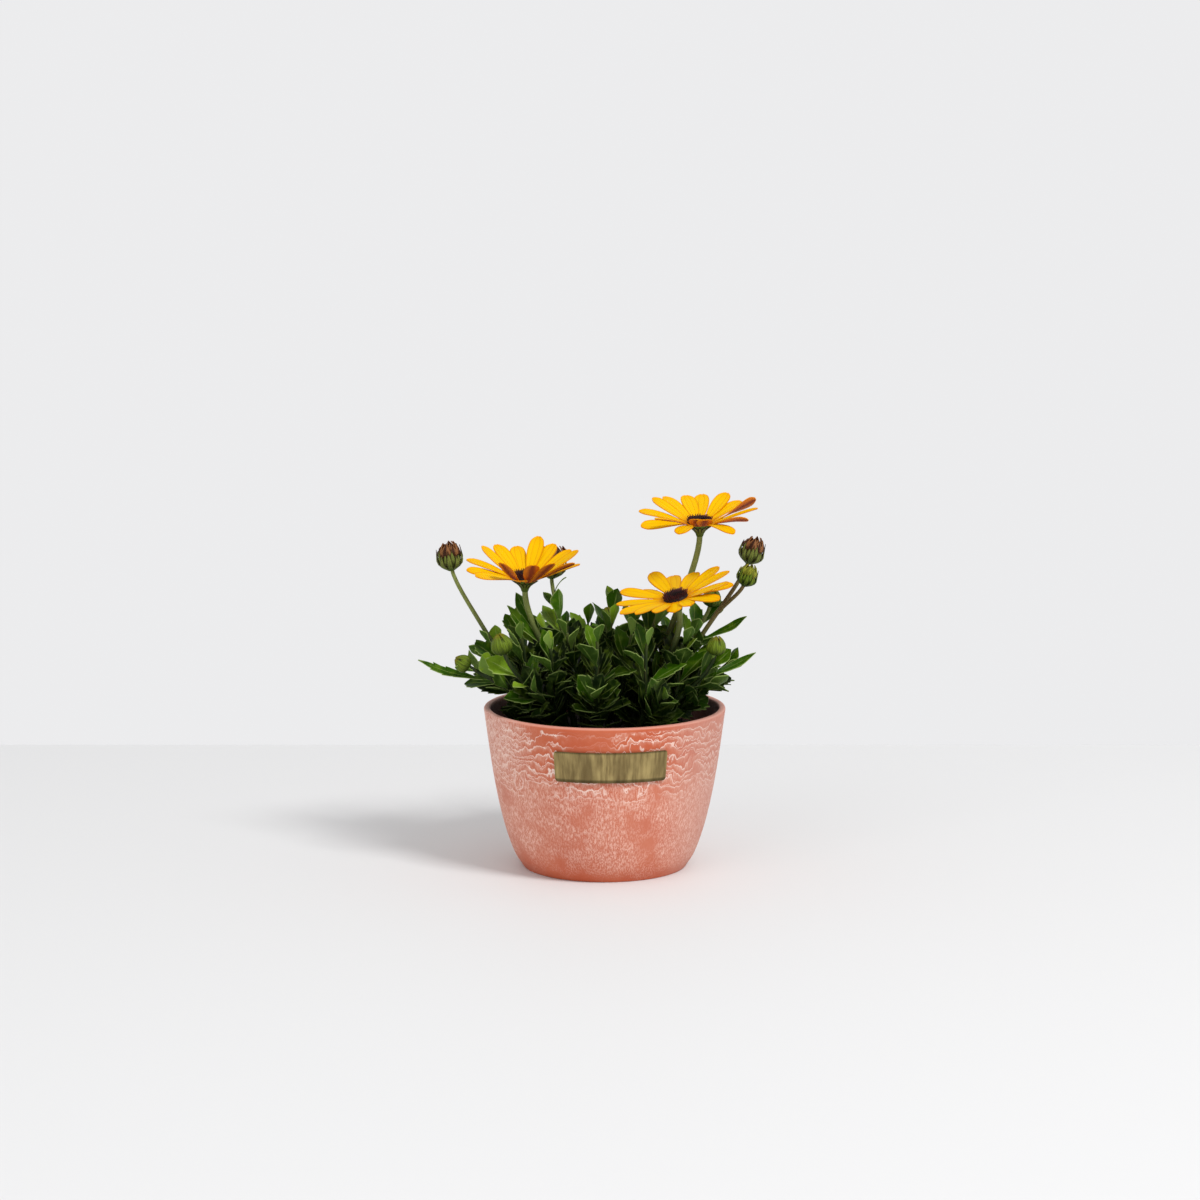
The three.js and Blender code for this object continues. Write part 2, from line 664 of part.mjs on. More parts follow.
// The forked stalk at the right with two buds, of which the first ends the stalk itself.
const FORKED = {
  root: [33, 8],
  buds: [
    { name: 'bud_f', at: [89.2, 8, 189.4], facing: [0.3, 0, 1], radius: 7.4, tips: TIP_PURPLE },
    { name: 'bud_g', at: [86, -4, 177], facing: [0.35, 0, 1], radius: 6, tips: TIP_GREEN },
  ],
};

function forkedStem() {
  const parts = [];
  let main = null;
  for (const bud of FORKED.buds) {
    const facing = vector(bud.facing).normalize();
    const foot = vector(bud.at);
    const end = foot.clone().addScaledVector(facing, CUP_SEAT);
    const start = main ? stemMiddle(main, FORK_SHARE) : rootAt(FORKED.root);
    const rise = main ? main.curve.getTangent(FORK_SHARE) : UP;
    const curve = stemCurve(start, rise, end, facing, main ? 8 : 24);
    const form = { curve, ...(main ? FORKED_BRANCH : FORKED_STALK) };
    parts.push(stalk(form), standing(openCup(bud.radius), foot, facing));
    addTips(bud, foot, facing);
    main ??= form;
  }
  stem('buds_f_g_stem', parts, [{ form: main, from: 0.22, to: 0.48, leaves: 7, size: 27, seed: 221 }]);
}

forkedStem();

// Leafy stems in rings round the middle: the end of each, the lean outwards there, and its leaves.
// A stem of an outer ring forks, and its second shoot fills the ring inside.
const RINGS = [
  { count: 1, reach: [4, 2], turn: 0, height: 151, drop: 0, lean: 0.05, from: 0.4, leaves: 7, size: 27 },
  { count: 5, reach: [34, 28], turn: 15, height: 157, drop: -6, lean: 0.3, from: 0.4, leaves: 6, size: 28 },
  { count: 11, reach: [76, 58], turn: 5, height: 128, drop: -12, lean: 1.1, from: 0.5, leaves: 6, size: 28,
    branch: { spread: [0.72, 0.74], height: 144, lean: 0.35, from: 0.34, leaves: 5, size: 28 } },
];
// A stem's root lies nearer the middle than its end, by this share.
const ROOT_SPREAD = 0.42;
// Ends of leafy stems differ in height by up to this much.
const UNEVEN = 8;

// The second shoot of a ring's stem, from a fork on the first.
function branchOf({ branch }, main, [x, y], outward, height) {
  const fork = stemMiddle(main, RING_FORK);
  const rise = main.curve.getTangent(RING_FORK);
  const top = new THREE.Vector3(x * branch.spread[0], y * branch.spread[1], height);
  const upwards = UP.clone().addScaledVector(outward, branch.lean).normalize();
  return { curve: stemCurve(fork, rise, top, upwards, 14), ...LEAFY_BRANCH };
}

function leafyStem(ring, place, number) {
  const random = seeded(400 + number);
  const round = radians(ring.turn + (place + 0.5 * (random() - 0.5)) * 360 / ring.count);
  const [x, y] = [ring.reach[0] * Math.cos(round), ring.reach[1] * Math.sin(round)];
  const front = Math.max(0, -Math.sin(round));
  const height = ring.height + ring.drop * front + UNEVEN * (random() - 0.5);
  const end = new THREE.Vector3(x, y * (1 - 0.1 * front), height);
  const outward = new THREE.Vector3(Math.cos(round), Math.sin(round), 0);
  const facing = UP.clone().addScaledVector(outward, ring.lean).normalize();
  const root = rootAt([x * ROOT_SPREAD, y * ROOT_SPREAD]);
  const form = { curve: stemCurve(root, UP, end, facing, 22), ...LEAFY_STALK };
  const parts = [stalk(form)];
  const { leaves, size } = ring;
  const shoots = [{ form, from: ring.from - 0.1 * front, to: 0.99, leaves, size, seed: 500 + number }];
  if (ring.branch) {
    const top = ring.branch.height + UNEVEN * (random() - 0.5);
    const second = branchOf(ring, form, [x, y], outward, top);
    parts.push(stalk(second));
    shoots.push({ ...ring.branch, form: second, to: 0.99, seed: 600 + number });
  }
  stem('leafy_stem_' + String(number).padStart(2, '0'), parts, shoots);
}

let number = 0;
for (const ring of RINGS) {
  for (let place = 0; place < ring.count; place += 1) {
    number += 1;
    leafyStem(ring, place, number);
  }
}

// Leaves that stand out of the mound by themselves.
const SINGLE_LEAVES = [
  { stem: 'bud_j_stem', t: 0.78, tip: [-115, -12, 131], width: 6.5, bend: -0.7, roll: -40,
    outline: 'toothed' },
  { stem: 'bud_k_stem', t: 0.7, tip: [93, -14, 136], width: 5, bend: -0.5, roll: 45,
    outline: 'young' },
  { stem: 'buds_f_g_stem', t: 0.5, tip: [88, 2, 156], width: 6, bend: -0.6, roll: 45,
    outline: 'young' },
  { stem: 'bloom_a_stem', t: 0.62, tip: [-60, -12, 165], width: 9.5, bend: -0.4, roll: -50,
    outline: 'shouldered' },
  { stem: 'bloom_a_stem', t: 0.68, tip: [-55, 2, 171], width: 8, bend: -0.3, roll: -60,
    outline: 'young' },
  { stem: 'bud_d_stem', t: 0.8, tip: [-24, 33, 176], width: 2.6, bend: 1.2, roll: 0,
    outline: 'young' },
];

for (const leaf of SINGLE_LEAVES) {
  const owner = stems.find(({ name }) => name === leaf.stem);
  const solid = singleLeaf(owner.shoots[0], leaf);
  blocks(leaf.stem, solid);
  owner.parts.push(solid);
}

for (const { name, parts, shoots } of stems) {
  for (const shoot of shoots) parts.push(...growLeaves(name, shoot));
  add(name, unite(parts), LEAF_GREEN, 0.55);
}

add('pot', pot(), TERRACOTTA, 0.85);
add('name_plate', namePlate(), BRASS, 0.45, 0.8);
add('soil', soil(stems.map((one) => one.hole)), SOIL_BROWN, 1);

export default daisy;
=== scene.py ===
"""Looks for a potted African daisy in a terracotta-coloured planter with a bare brass plate.

Stems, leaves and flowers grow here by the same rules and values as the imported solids, with finer outlines.
Lengths are in millimetres until a mesh is finished.
"""

import math
from collections import namedtuple

import bmesh
import bpy
from mathutils import Matrix, Vector, kdtree, noise


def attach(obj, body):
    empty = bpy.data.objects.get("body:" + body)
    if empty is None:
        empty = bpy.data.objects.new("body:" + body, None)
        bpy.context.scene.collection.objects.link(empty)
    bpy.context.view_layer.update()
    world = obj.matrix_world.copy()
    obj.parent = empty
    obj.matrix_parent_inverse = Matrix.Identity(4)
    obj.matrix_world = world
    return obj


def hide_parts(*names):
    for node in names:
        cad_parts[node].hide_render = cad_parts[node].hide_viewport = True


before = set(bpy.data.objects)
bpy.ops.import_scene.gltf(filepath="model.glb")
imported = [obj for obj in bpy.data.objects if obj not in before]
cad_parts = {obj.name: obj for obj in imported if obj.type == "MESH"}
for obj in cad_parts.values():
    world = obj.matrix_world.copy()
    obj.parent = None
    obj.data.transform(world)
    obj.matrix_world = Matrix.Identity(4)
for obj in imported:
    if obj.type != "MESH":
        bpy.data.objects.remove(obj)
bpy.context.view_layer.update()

MM = 0.001
UP = Vector((0, 0, 1))

# The planter, as in the solids.
POT_HEIGHT = 100
POT_FLOOR = 6
POT_SIDE = [(0.8, 51.4), (8, 56), (22, 61.2), (40, 65.8), (64, 70.2), (98.6, 75)]
GAP = 0.3
SOIL_TOP = 84
ROOT_HEIGHT = 74.3
PLATE_WIDTH = 69
PLATE_LOW = 67.2
PLATE_HEIGHT = 18
PLATE_THICK = 1
PLATE_CORNER = 2
PLATE_TURN = 3

# Open flowers.
RAY_COUNT = 16
RAY_LENGTH = 28.5
RAY_WIDTH = 10
RAY_ROOT = 9
CUP_DEPTH = 8
FLORETS = 170
FLORETS_REACH = 7.4
DISC_TOP = 3
GOLDEN_TURN = 137.508

# Buds: their profiles are drawn for this radius, and the furled petals start at this height.
BUD_RADIUS = 7
TIPS_START = 7
TIPS_STRETCH = 0.92

# Stems: radii at foot and tip, and straight steps. A stem's curve leaves its foot by this share of its span.
CURVE_PULL = 0.35
FLOWER_STALK = (2.1, 1.8), 6
BUD_STALK = (1.6, 1.2), 6
FORKED_STALK = (1.8, 1.2), 6
FORK_STALK = (1.3, 1.2), 3
LEAFY_STALK = (1.8, 1.1), 4
BRANCH_STALK = (1.4, 1), 3
RING_FORK = 0.36
FORK_SHARE = 0.62

# A ring stem's root, as a share of its reach, and its branch's top, as shares and a height.
RING_ROOT = 0.42
BRANCH_TOP = (0.72, 0.74, 144)

# Leaves: turn of their rows, depth in the stem, and lowest heights over the soil and over the rim.
FACE_TURN = 45
LEAF_SEAT = 0.62
LOWEST_LEAF = 87
LOWEST_OVER_RIM = 110
RIM_ZONE = 66

# How near a leaf's tip lies to its corner in the solid, in metres.
TIP_MATCH = 3e-5

# The smaller leaves stay in a dome of these half widths and this rise above its foot.
MOUND_REACH = (88, 68)
MOUND_FOOT = 90
MOUND_RISE = 68
FEW_FILLING = 6
BRANCH_FILLING = 12
STEM_FILLING = 20
FILLING_SEED = 3000

# Blades: thicknesses, and the wave of a leaf's margin as a share of its length.
LEAF_THICK = 0.45
RAY_THICK = 0.5
BRACT_THICK = 0.3
LEAF_WAVE = 0.012

SINGLE_TONE = 0.5
GOLDEN_SHARE = 0.618
SHARP_ANGLE = 48
SOIL_REACH = 66
CRUMBS = 420

# Outlines: distance along the blade, half width there, and how far the margin runs ahead of the middle.
OUTLINES = {
    "toothed": [
        (0, 0.1, 0), (0.1, 0.14, 0), (0.2, 0.27, 0), (0.3, 0.48, 0), (0.4, 0.74, 0), (0.45, 0.93, 0.045),
        (0.462, 0.72, 0), (0.54, 0.9, 0), (0.6, 1.08, 0.045), (0.612, 0.82, 0), (0.7, 0.82, 0),
        (0.77, 0.88, 0.045), (0.782, 0.58, 0), (0.87, 0.45, 0), (0.94, 0.22, 0), (1, 0.02, 0),
    ],
    "shouldered": [
        (0, 0.1, 0), (0.1, 0.16, 0), (0.2, 0.3, 0), (0.32, 0.54, 0), (0.44, 0.78, 0), (0.54, 0.93, 0),
        (0.62, 1.04, 0.03), (0.64, 0.9, 0), (0.71, 0.86, 0), (0.78, 0.83, 0.03), (0.8, 0.66, 0),
        (0.88, 0.47, 0), (0.95, 0.22, 0), (1, 0.02, 0),
    ],
    "young": [
        (0, 0.12, 0), (0.12, 0.24, 0), (0.25, 0.43, 0), (0.4, 0.67, 0), (0.52, 0.86, 0), (0.63, 1, 0),
        (0.71, 1.02, 0.02), (0.79, 0.88, 0), (0.87, 0.62, 0), (0.94, 0.32, 0), (1, 0.02, 0),
    ],
}
RAY_OUTLINE = [
    (-0.09, 0.34), (0, 0.4), (0.1, 0.48), (0.21, 0.62), (0.33, 0.79), (0.46, 0.92), (0.58, 0.99), (0.7, 1),
    (0.8, 0.94), (0.88, 0.81), (0.94, 0.62), (0.975, 0.43), (1, 0.24),
]

# Turn round the stem, extra opening and size of each place that a leaf may take.
LEAF_TRIES = [
    (0, 0, 1), (22, 0, 1), (-22, 0, 1), (0, 14, 1), (0, -12, 1), (42, 6, 1), (-42, 6, 1),
    (18, 24, 0.92), (-18, 24, 0.92), (64, 0, 0.9), (-64, 0, 0.9), (0, -24, 0.85),
    (32, -18, 0.8), (-32, -18, 0.8), (90, 10, 0.75), (-90, 10, 0.75), (0, 34, 0.7), (130, 0, 0.7),
]

Frame = namedtuple("Frame", "root along normal")
Shape = namedtuple("Shape", "outline length width bend twist fold")
Stalk = namedtuple("Stalk", "curve radii steps")
Shoot = namedtuple("Shoot", "form first last leaves size seed")


def seeded(seed):
    """A linear congruential generator, the same as the solids grow by."""
    state = seed

    def draw():
        nonlocal state
        state = (state * 1664525 + 1013904223) % 4294967296
        return state / 4294967296

    return draw


def between(low, high, share):
    return low + (high - low) * share


class Curve:
    """A stem's cubic curve from its start to an end that it reaches along a direction."""

    def __init__(self, start, rise, end, direction, run):
        reach = (start - end).length * CURVE_PULL
        self.points = (start, start + rise * reach, end - direction * run, end)

    def point(self, t):
        a, b, c, d = self.points
        rest = 1 - t
        return a * rest**3 + b * (3 * rest * rest * t) + c * (3 * rest * t * t) + d * t**3

    def tangent(self, t):
        a, b, c, d = self.points
        rest = 1 - t
        return ((b - a) * (rest * rest) + (c - b) * (2 * rest * t) + (d - c) * (t * t)).normalized()


def stem_frame(direction):
    side = Vector((0, 1, 0)).cross(direction).normalized()
    return side, side.cross(direction)


def stem_middle(form, t):
    """The middle of a stem's straight steps at share t of its length."""
    step = min(math.floor(t * form.steps), form.steps - 1)
    start = form.curve.point(step / form.steps)
    end = form.curve.point((step + 1) / form.steps)
    return start.lerp(end, t * form.steps - step)


def station(blade, shape, s):
    """The point, across and up directions of a blade at share s of its length."""
    angle = shape.bend * s
    across = blade.along.cross(blade.normal)
    flat = abs(shape.bend) < 1e-6
    forward = s if flat else math.sin(angle) / shape.bend
    drop = 0 if flat else (1 - math.cos(angle)) / shape.bend
    point = blade.root + blade.along * (forward * shape.length) - blade.normal * (drop * shape.length)
    raised = blade.normal * math.cos(angle) + blade.along * math.sin(angle)
    turn = shape.twist * s
    side = across * math.cos(turn) + raised * math.sin(turn)
    lift = raised * math.cos(turn) - across * math.sin(turn)
    return point, side, lift


def leaf_plan(shoot):
    """The leaves of one shoot from the lowest: place, turn, opening, shape and age of each."""
    draw = seeded(shoot.seed)
    start = draw() * 360
    for k in range(shoot.leaves):
        share = k / (shoot.leaves - 1)
        draws = [draw() for _ in range(6)]
        growth = 0.86 + 0.55 * share - 0.93 * share * share
        length = shoot.size * growth * (0.92 + 0.16 * draws[0])
        kind = "toothed" if share < 0.3 else "shouldered" if share < 0.8 else "young"
        shape = Shape(
            outline=OUTLINES[kind],
            length=length,
            width=length * (0.56 + 0.08 * draws[3]),
            bend=0.45 - 0.7 * share + 0.5 * (draws[4] - 0.5),
            twist=0.6 * (draws[5] - 0.5),
            fold=0.16 + 0.2 * share,
        )
        quarter = math.floor((start + 137.5 * k) / 90 + 0.5)
        turn = FACE_TURN + 90 * quarter + 16 * (draws[1] - 0.5)
        opening = 56 - 36 * share + 16 * (draws[2] - 0.5)
        yield between(shoot.first, shoot.last, share), turn, opening, shape, share


def leaf_frame(form, t, turn, opening):
    tangent = form.curve.tangent(t)
    side, up = stem_frame(tangent)
    round_stem = math.radians(turn)
    outward = side * math.cos(round_stem) + up * math.sin(round_stem)
    angle = math.radians(max(opening, 8))
    along = tangent * math.cos(angle) + outward * math.sin(angle)
    normal = tangent * math.sin(angle) - outward * math.cos(angle)
    seat = LEAF_SEAT * between(*form.radii, t)
    return Frame(stem_middle(form, t) + outward * seat, along, normal)


def corner_tree(node):
    """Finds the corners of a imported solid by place."""
    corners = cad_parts[node].data.vertices
    tree = kdtree.KDTree(len(corners))
    for corner in corners:
        tree.insert(corner.co, corner.index)
    tree.balance()
    return tree


def grown_leaves(shoot, corners):
    """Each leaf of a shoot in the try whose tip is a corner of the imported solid."""
    for t, turn, opening, shape, share in leaf_plan(shoot):
        for extra_turn, extra_opening, size in LEAF_TRIES:
            blade = leaf_frame(shoot.form, t, turn + extra_turn, opening + extra_opening)
            tried = shape._replace(length=shape.length * size, width=shape.width * size)
            tip = station(blade, tried, 1)[0]
            if corners.find(tip * MM)[2] < TIP_MATCH:
                yield blade, tried, share
                break


def is_low(points):
    """Whether any point lies near the soil, or near the pot's rim."""
    return any(
        point.z < (LOWEST_OVER_RIM if math.hypot(point.x, point.y) > RIM_ZONE else LOWEST_LEAF)
        for point in points
    )


def is_inside(point):
    """Whether a point lies in the dome that the mound of leaves fills."""
    x, y = point.x / MOUND_REACH[0], point.y / MOUND_REACH[1]
    z = max(point.z - MOUND_FOOT, 0) / MOUND_RISE
    return x * x + y * y + z * z <= 1


def filling_leaves(shoot, count):
    """Smaller leaves between the others, which close the mound inside."""
    draw = seeded(shoot.seed + FILLING_SEED)
    for _ in range(count):
        draws = [draw() for _ in range(7)]
        t = between(shoot.first - 0.2, shoot.last - 0.06, draws[0])
        length = shoot.size * between(0.6, 0.95, draws[1])
        shape = Shape(
            outline=OUTLINES["toothed" if draws[2] < 0.6 else "shouldered"],
            length=length,
            width=length * between(0.54, 0.68, draws[3]),
            bend=between(-0.1, 0.4, draws[4]),
            twist=0.5 * (draws[5] - 0.5),
            fold=0.2,
        )
        opening = between(48, 24, t) + 20 * (draws[2] - 0.5)
        blade = leaf_frame(shoot.form, t, 360 * draws[6], opening)
        tip = station(blade, shape, 1)[0]
        middle, side, _ = station(blade, shape, 0.6)
        edges = [middle + side * (shape.width / 2), middle - side * (shape.width / 2)]
        if is_inside(tip) and not is_low([tip, *edges]):
            yield blade, shape, draws[2]


# Shaders


class Wire:
    """A value that runs through a shader and takes Python's arithmetic."""

    def __init__(self, shader, socket):
        self.shader = shader
        self.socket = socket

    def __add__(self, other):
        return self.shader.math("ADD", self, other)

    __radd__ = __add__

    def __mul__(self, other):
        return self.shader.math("MULTIPLY", self, other)

    __rmul__ = __mul__

    def __sub__(self, other):
        return self.shader.math("SUBTRACT", self, other)

    def __rsub__(self, other):
        return self.shader.math("SUBTRACT", other, self)

    def __pow__(self, other):
        return self.shader.math("POWER", self, other)

    def __abs__(self):
        return self.shader.math("ABSOLUTE", self)

    def sin(self):
        return self.shader.math("SINE", self)

    def rises(self, low, high):
        """0 below low, 1 above high and smooth between; it falls where low is above high."""
        inputs = {"Value": self, "From Min": low, "From Max": high}
        node = self.shader.node("MapRange", inputs, interpolation_type="SMOOTHSTEP")
        return Wire(self.shader, node.outputs["Result"])


class Shader:
    """One material, built up from nodes."""

    def __init__(self, name, roughness):
        self.material = bpy.data.materials.new(name)
        self.material.use_nodes = True
        self.tree = self.material.node_tree
        self.surface = self.tree.nodes["Principled BSDF"]
        self.surface.inputs["Roughness"].default_value = roughness

    def feed(self, socket, value):
        if isinstance(value, Wire):
            self.tree.links.new(value.socket, socket)
        else:
            socket.default_value = value

    def node(self, kind, inputs, **settings):
        made = self.tree.nodes.new("ShaderNode" + kind)
        for key, value in settings.items():
            setattr(made, key, value)
        for key, value in inputs.items():
            self.feed(made.inputs[key], value)
        return made

    def math(self, operation, *values):
        made = self.node("Math", dict(enumerate(values)), operation=operation)
        return Wire(self, made.outputs[0])

    def mix(self, factor, first, second):
        made = self.node("Mix", {0: factor, 6: first, 7: second}, data_type="RGBA")
        return Wire(self, made.outputs[2])

    def noise(self, place, scale, detail=3):
        inputs = {"Vector": place, "Scale": scale, "Detail": detail}
        return Wire(self, self.node("TexNoise", inputs).outputs[0])

    def place(self, stretch=(1, 1, 1)):
        """Object coordinates in centimetres, stretched."""
        coordinates = self.node("TexCoord", {}).outputs["Object"]
        factors = [100 * factor for factor in stretch]
        made = self.node("VectorMath", {0: Wire(self, coordinates), 1: factors}, operation="MULTIPLY")
        return Wire(self, made.outputs[0])

    def split(self, place):
        made = self.node("SeparateXYZ", {0: place})
        return [Wire(self, socket) for socket in made.outputs]

    def join(self, x, y, z):
        return Wire(self, self.node("CombineXYZ", {0: x, 1: y, 2: z}).outputs[0])

    def blade(self):
        """Distance from a blade's midrib, 1 at the margin, and distance along the blade."""
        coordinates = self.node("UVMap", {}, uv_map="blade").outputs[0]
        across, along, _ = self.split(Wire(self, coordinates))
        return across * 2 - 1, along

    def tone(self):
        return Wire(self, self.node("Attribute", {}, attribute_name="tone").outputs["Fac"])

    def bump(self, height, depth):
        """Relief of a depth in millimetres."""
        inputs = {"Height": height, "Distance": depth * MM, "Strength": 1}
        self.set("Normal", Wire(self, self.node("Bump", inputs).outputs[0]))

    def set(self, name, value):
        self.feed(self.surface.inputs[name], value)

    def let_light_through(self, share, color):
        """Mixes in a share of light that passes through a thin blade."""
        through = self.node("BsdfTranslucent", {"Color": color}).outputs[0]
        inputs = {0: share, 1: Wire(self, self.surface.outputs[0]), 2: Wire(self, through)}
        mixed = self.node("MixShader", inputs).outputs[0]
        self.tree.links.new(mixed, self.tree.nodes["Material Output"].inputs["Surface"])


def rgb(code):
    """A linear colour from its usual six-digit code."""
    parts = [int(code[k:k + 2], 16) / 255 for k in (0, 2, 4)]
    return (*[part / 12.92 if part <= 0.04045 else ((part + 0.055) / 1.055) ** 2.4 for part in parts], 1)


def leaf_material(name, dark, mid, light, through, roughness, vein):
    shader = Shader(name, roughness)
    across, along = shader.blade()
    tone = shader.tone()
    patches = shader.noise(shader.place(), 1.6, 2)
    color = shader.mix(tone.rises(0.14, 0.64), rgb(dark), rgb(mid))
    color = shader.mix(tone.rises(0.62, 1), color, rgb(light))
    color = shader.mix(patches.rises(0.45, 0.7) * 0.25, color, rgb(light))
    reach = abs(across)
    rib = reach.rises(0.09, 0.02) * along.rises(1, 0.55)
    side_veins = abs((along * 22 - reach * 5).sin()).rises(0.22, 0.02) * reach.rises(0.95, 0.3)
    color = shader.mix(rib * vein, color, rgb("9cb45a"))
    color = shader.mix(side_veins * (vein * 0.25), color, rgb("76983c"))
    # Margins are paler, more so on lighter leaves: the leaf's own pale edge with a painted highlight along
    # it.
    color = shader.mix(reach.rises(0.9, 1) * (0.2 + tone.rises(0.1, 0.6) * 0.45), color, rgb("b2c672"))
    # Leaves below 13 cm are painted darker, darkest under 10 cm: painted shade low in the mound near the
    # soil.
    _, _, height = shader.split(shader.place())
    color = shader.mix(height.rises(13, 10) * 0.6, color, rgb("0a1604"))
    shader.set("Base Color", color)
    shader.set("Specular IOR Level", 0.07)
    grain = shader.noise(shader.place(), 22, 2)
    shader.bump(rib * -0.8 + side_veins * -0.35 + grain * 0.25, 0.25)
    shader.let_light_through(0.2, rgb(through))
    return shader.material


def stalk_material(name, low, high, blush):
    shader = Shader(name, 0.55)
    _, _, height = shader.split(shader.place())
    ribs = shader.noise(shader.place((9, 9, 0.5)), 1, 2)
    speckle = shader.noise(shader.place(), 14, 3)
    color = shader.mix(height.rises(13.5, 16.5), rgb(low), rgb(high))
    color = shader.mix(ribs.rises(0.5, 0.8) * 0.5, color, rgb(blush))
    color = shader.mix(speckle.rises(0.55, 0.75) * height.rises(13, 16) * 0.25, color, rgb("c7d49a"))
    shader.set("Base Color", color)
    shader.set("Specular IOR Level", 0.2)
    shader.bump(ribs + speckle * 0.3, 0.2)
    return shader.material


def bract_material(name, base, top, line, tip):
    shader = Shader(name, 0.5)
    across, along = shader.blade()
    reach = abs(across)
    grain = shader.noise(shader.place(), 9, 3)
    color = shader.mix(along.rises(0.05, 0.6), rgb(base), rgb(top))
    color = shader.mix(reach.rises(0.45, 0.85) * along.rises(0.1, 0.4) * 0.9, color, rgb(line))
    stripes = reach.rises(0.16, 0.02) + abs(reach - 0.4).rises(0.1, 0.01) * 0.6
    color = shader.mix(stripes * along.rises(0.08, 0.35) * 0.7, color, rgb(line))
    color = shader.mix((along + (grain - 0.5) * 0.3).rises(0.72, 0.92), color, rgb(tip))
    shader.set("Base Color", color)
    shader.set("Specular IOR Level", 0.1)
    shader.bump(reach.rises(0.7, 0.2) + grain * 0.3, 0.2)
    return shader.material


def ray_upper_material():
    shader = Shader("ray_upper", 0.5)
    across, along = shader.blade()
    reach = abs(across)
    streaks = shader.noise(shader.join(across * 7, along * 1.2, shader.tone() * 9), 1.5, 3)
    color = shader.mix(along.rises(0, 0.3), rgb("f09400"), rgb("ffca00"))
    color = shader.mix(along.rises(0.55, 1), color, rgb("ffb600"))
    color = shader.mix(streaks.rises(0.45, 0.75) * 0.4, color, rgb("ffb800"))
    groove = abs(reach - 0.36).rises(0.06, 0) * along.rises(0, 0.1)
    color = shader.mix(groove * 0.4, color, rgb("ec9000"))
    # Margins turn orange-brown: the petal's own edge colour, deepened as painted shade between the petals.
    color = shader.mix(reach.rises(0.76, 1) * 0.6, color, rgb("cc6a08"))
    color = shader.mix(along.rises(0.95, 1) * 0.4, color, rgb("c8680a"))
    shader.set("Base Color", color)
    shader.set("Specular IOR Level", 0.06)
    shader.bump(streaks * 0.4 - groove * 0.6, 0.2)
    shader.let_light_through(0.22, rgb("ffb400"))
    return shader.material


def ray_under_material(name, middle, margin):
    shader = Shader(name, 0.55)
    across, along = shader.blade()
    reach = abs(across)
    streaks = shader.noise(shader.join(across * 8, along * 1.1, shader.tone() * 9), 1.6, 3)
    color = shader.mix((reach + (streaks - 0.5) * 0.8).rises(0.15, 0.75), rgb(middle), rgb(margin))
    color = shader.mix(streaks.rises(0.58, 0.72) * 0.6, color, rgb("5d241c"))
    color = shader.mix(reach.rises(0.95, 1) * 0.5, color, rgb("7d3a14"))
    shader.set("Base Color", color)
    shader.set("Specular IOR Level", 0.15)
    shader.bump(streaks, 0.35)
    shader.let_light_through(0.15, rgb("d06a10"))
    return shader.material


def disc_material():
    shader = Shader("disc", 0.6)
    tone = shader.tone()
    grain = shader.noise(shader.place(), 30, 2)
    color = shader.mix(tone.rises(0.2, 0.8), rgb("1a0c0c"), rgb("4a2022"))
    color = shader.mix(tone.rises(0.86, 1) * 0.9, color, rgb("94502c"))
    color = shader.mix(grain.rises(0.5, 0.8) * 0.3, color, rgb("54282a"))
    shader.set("Base Color", color)
    shader.set("Specular IOR Level", 0.2)
    return shader.material


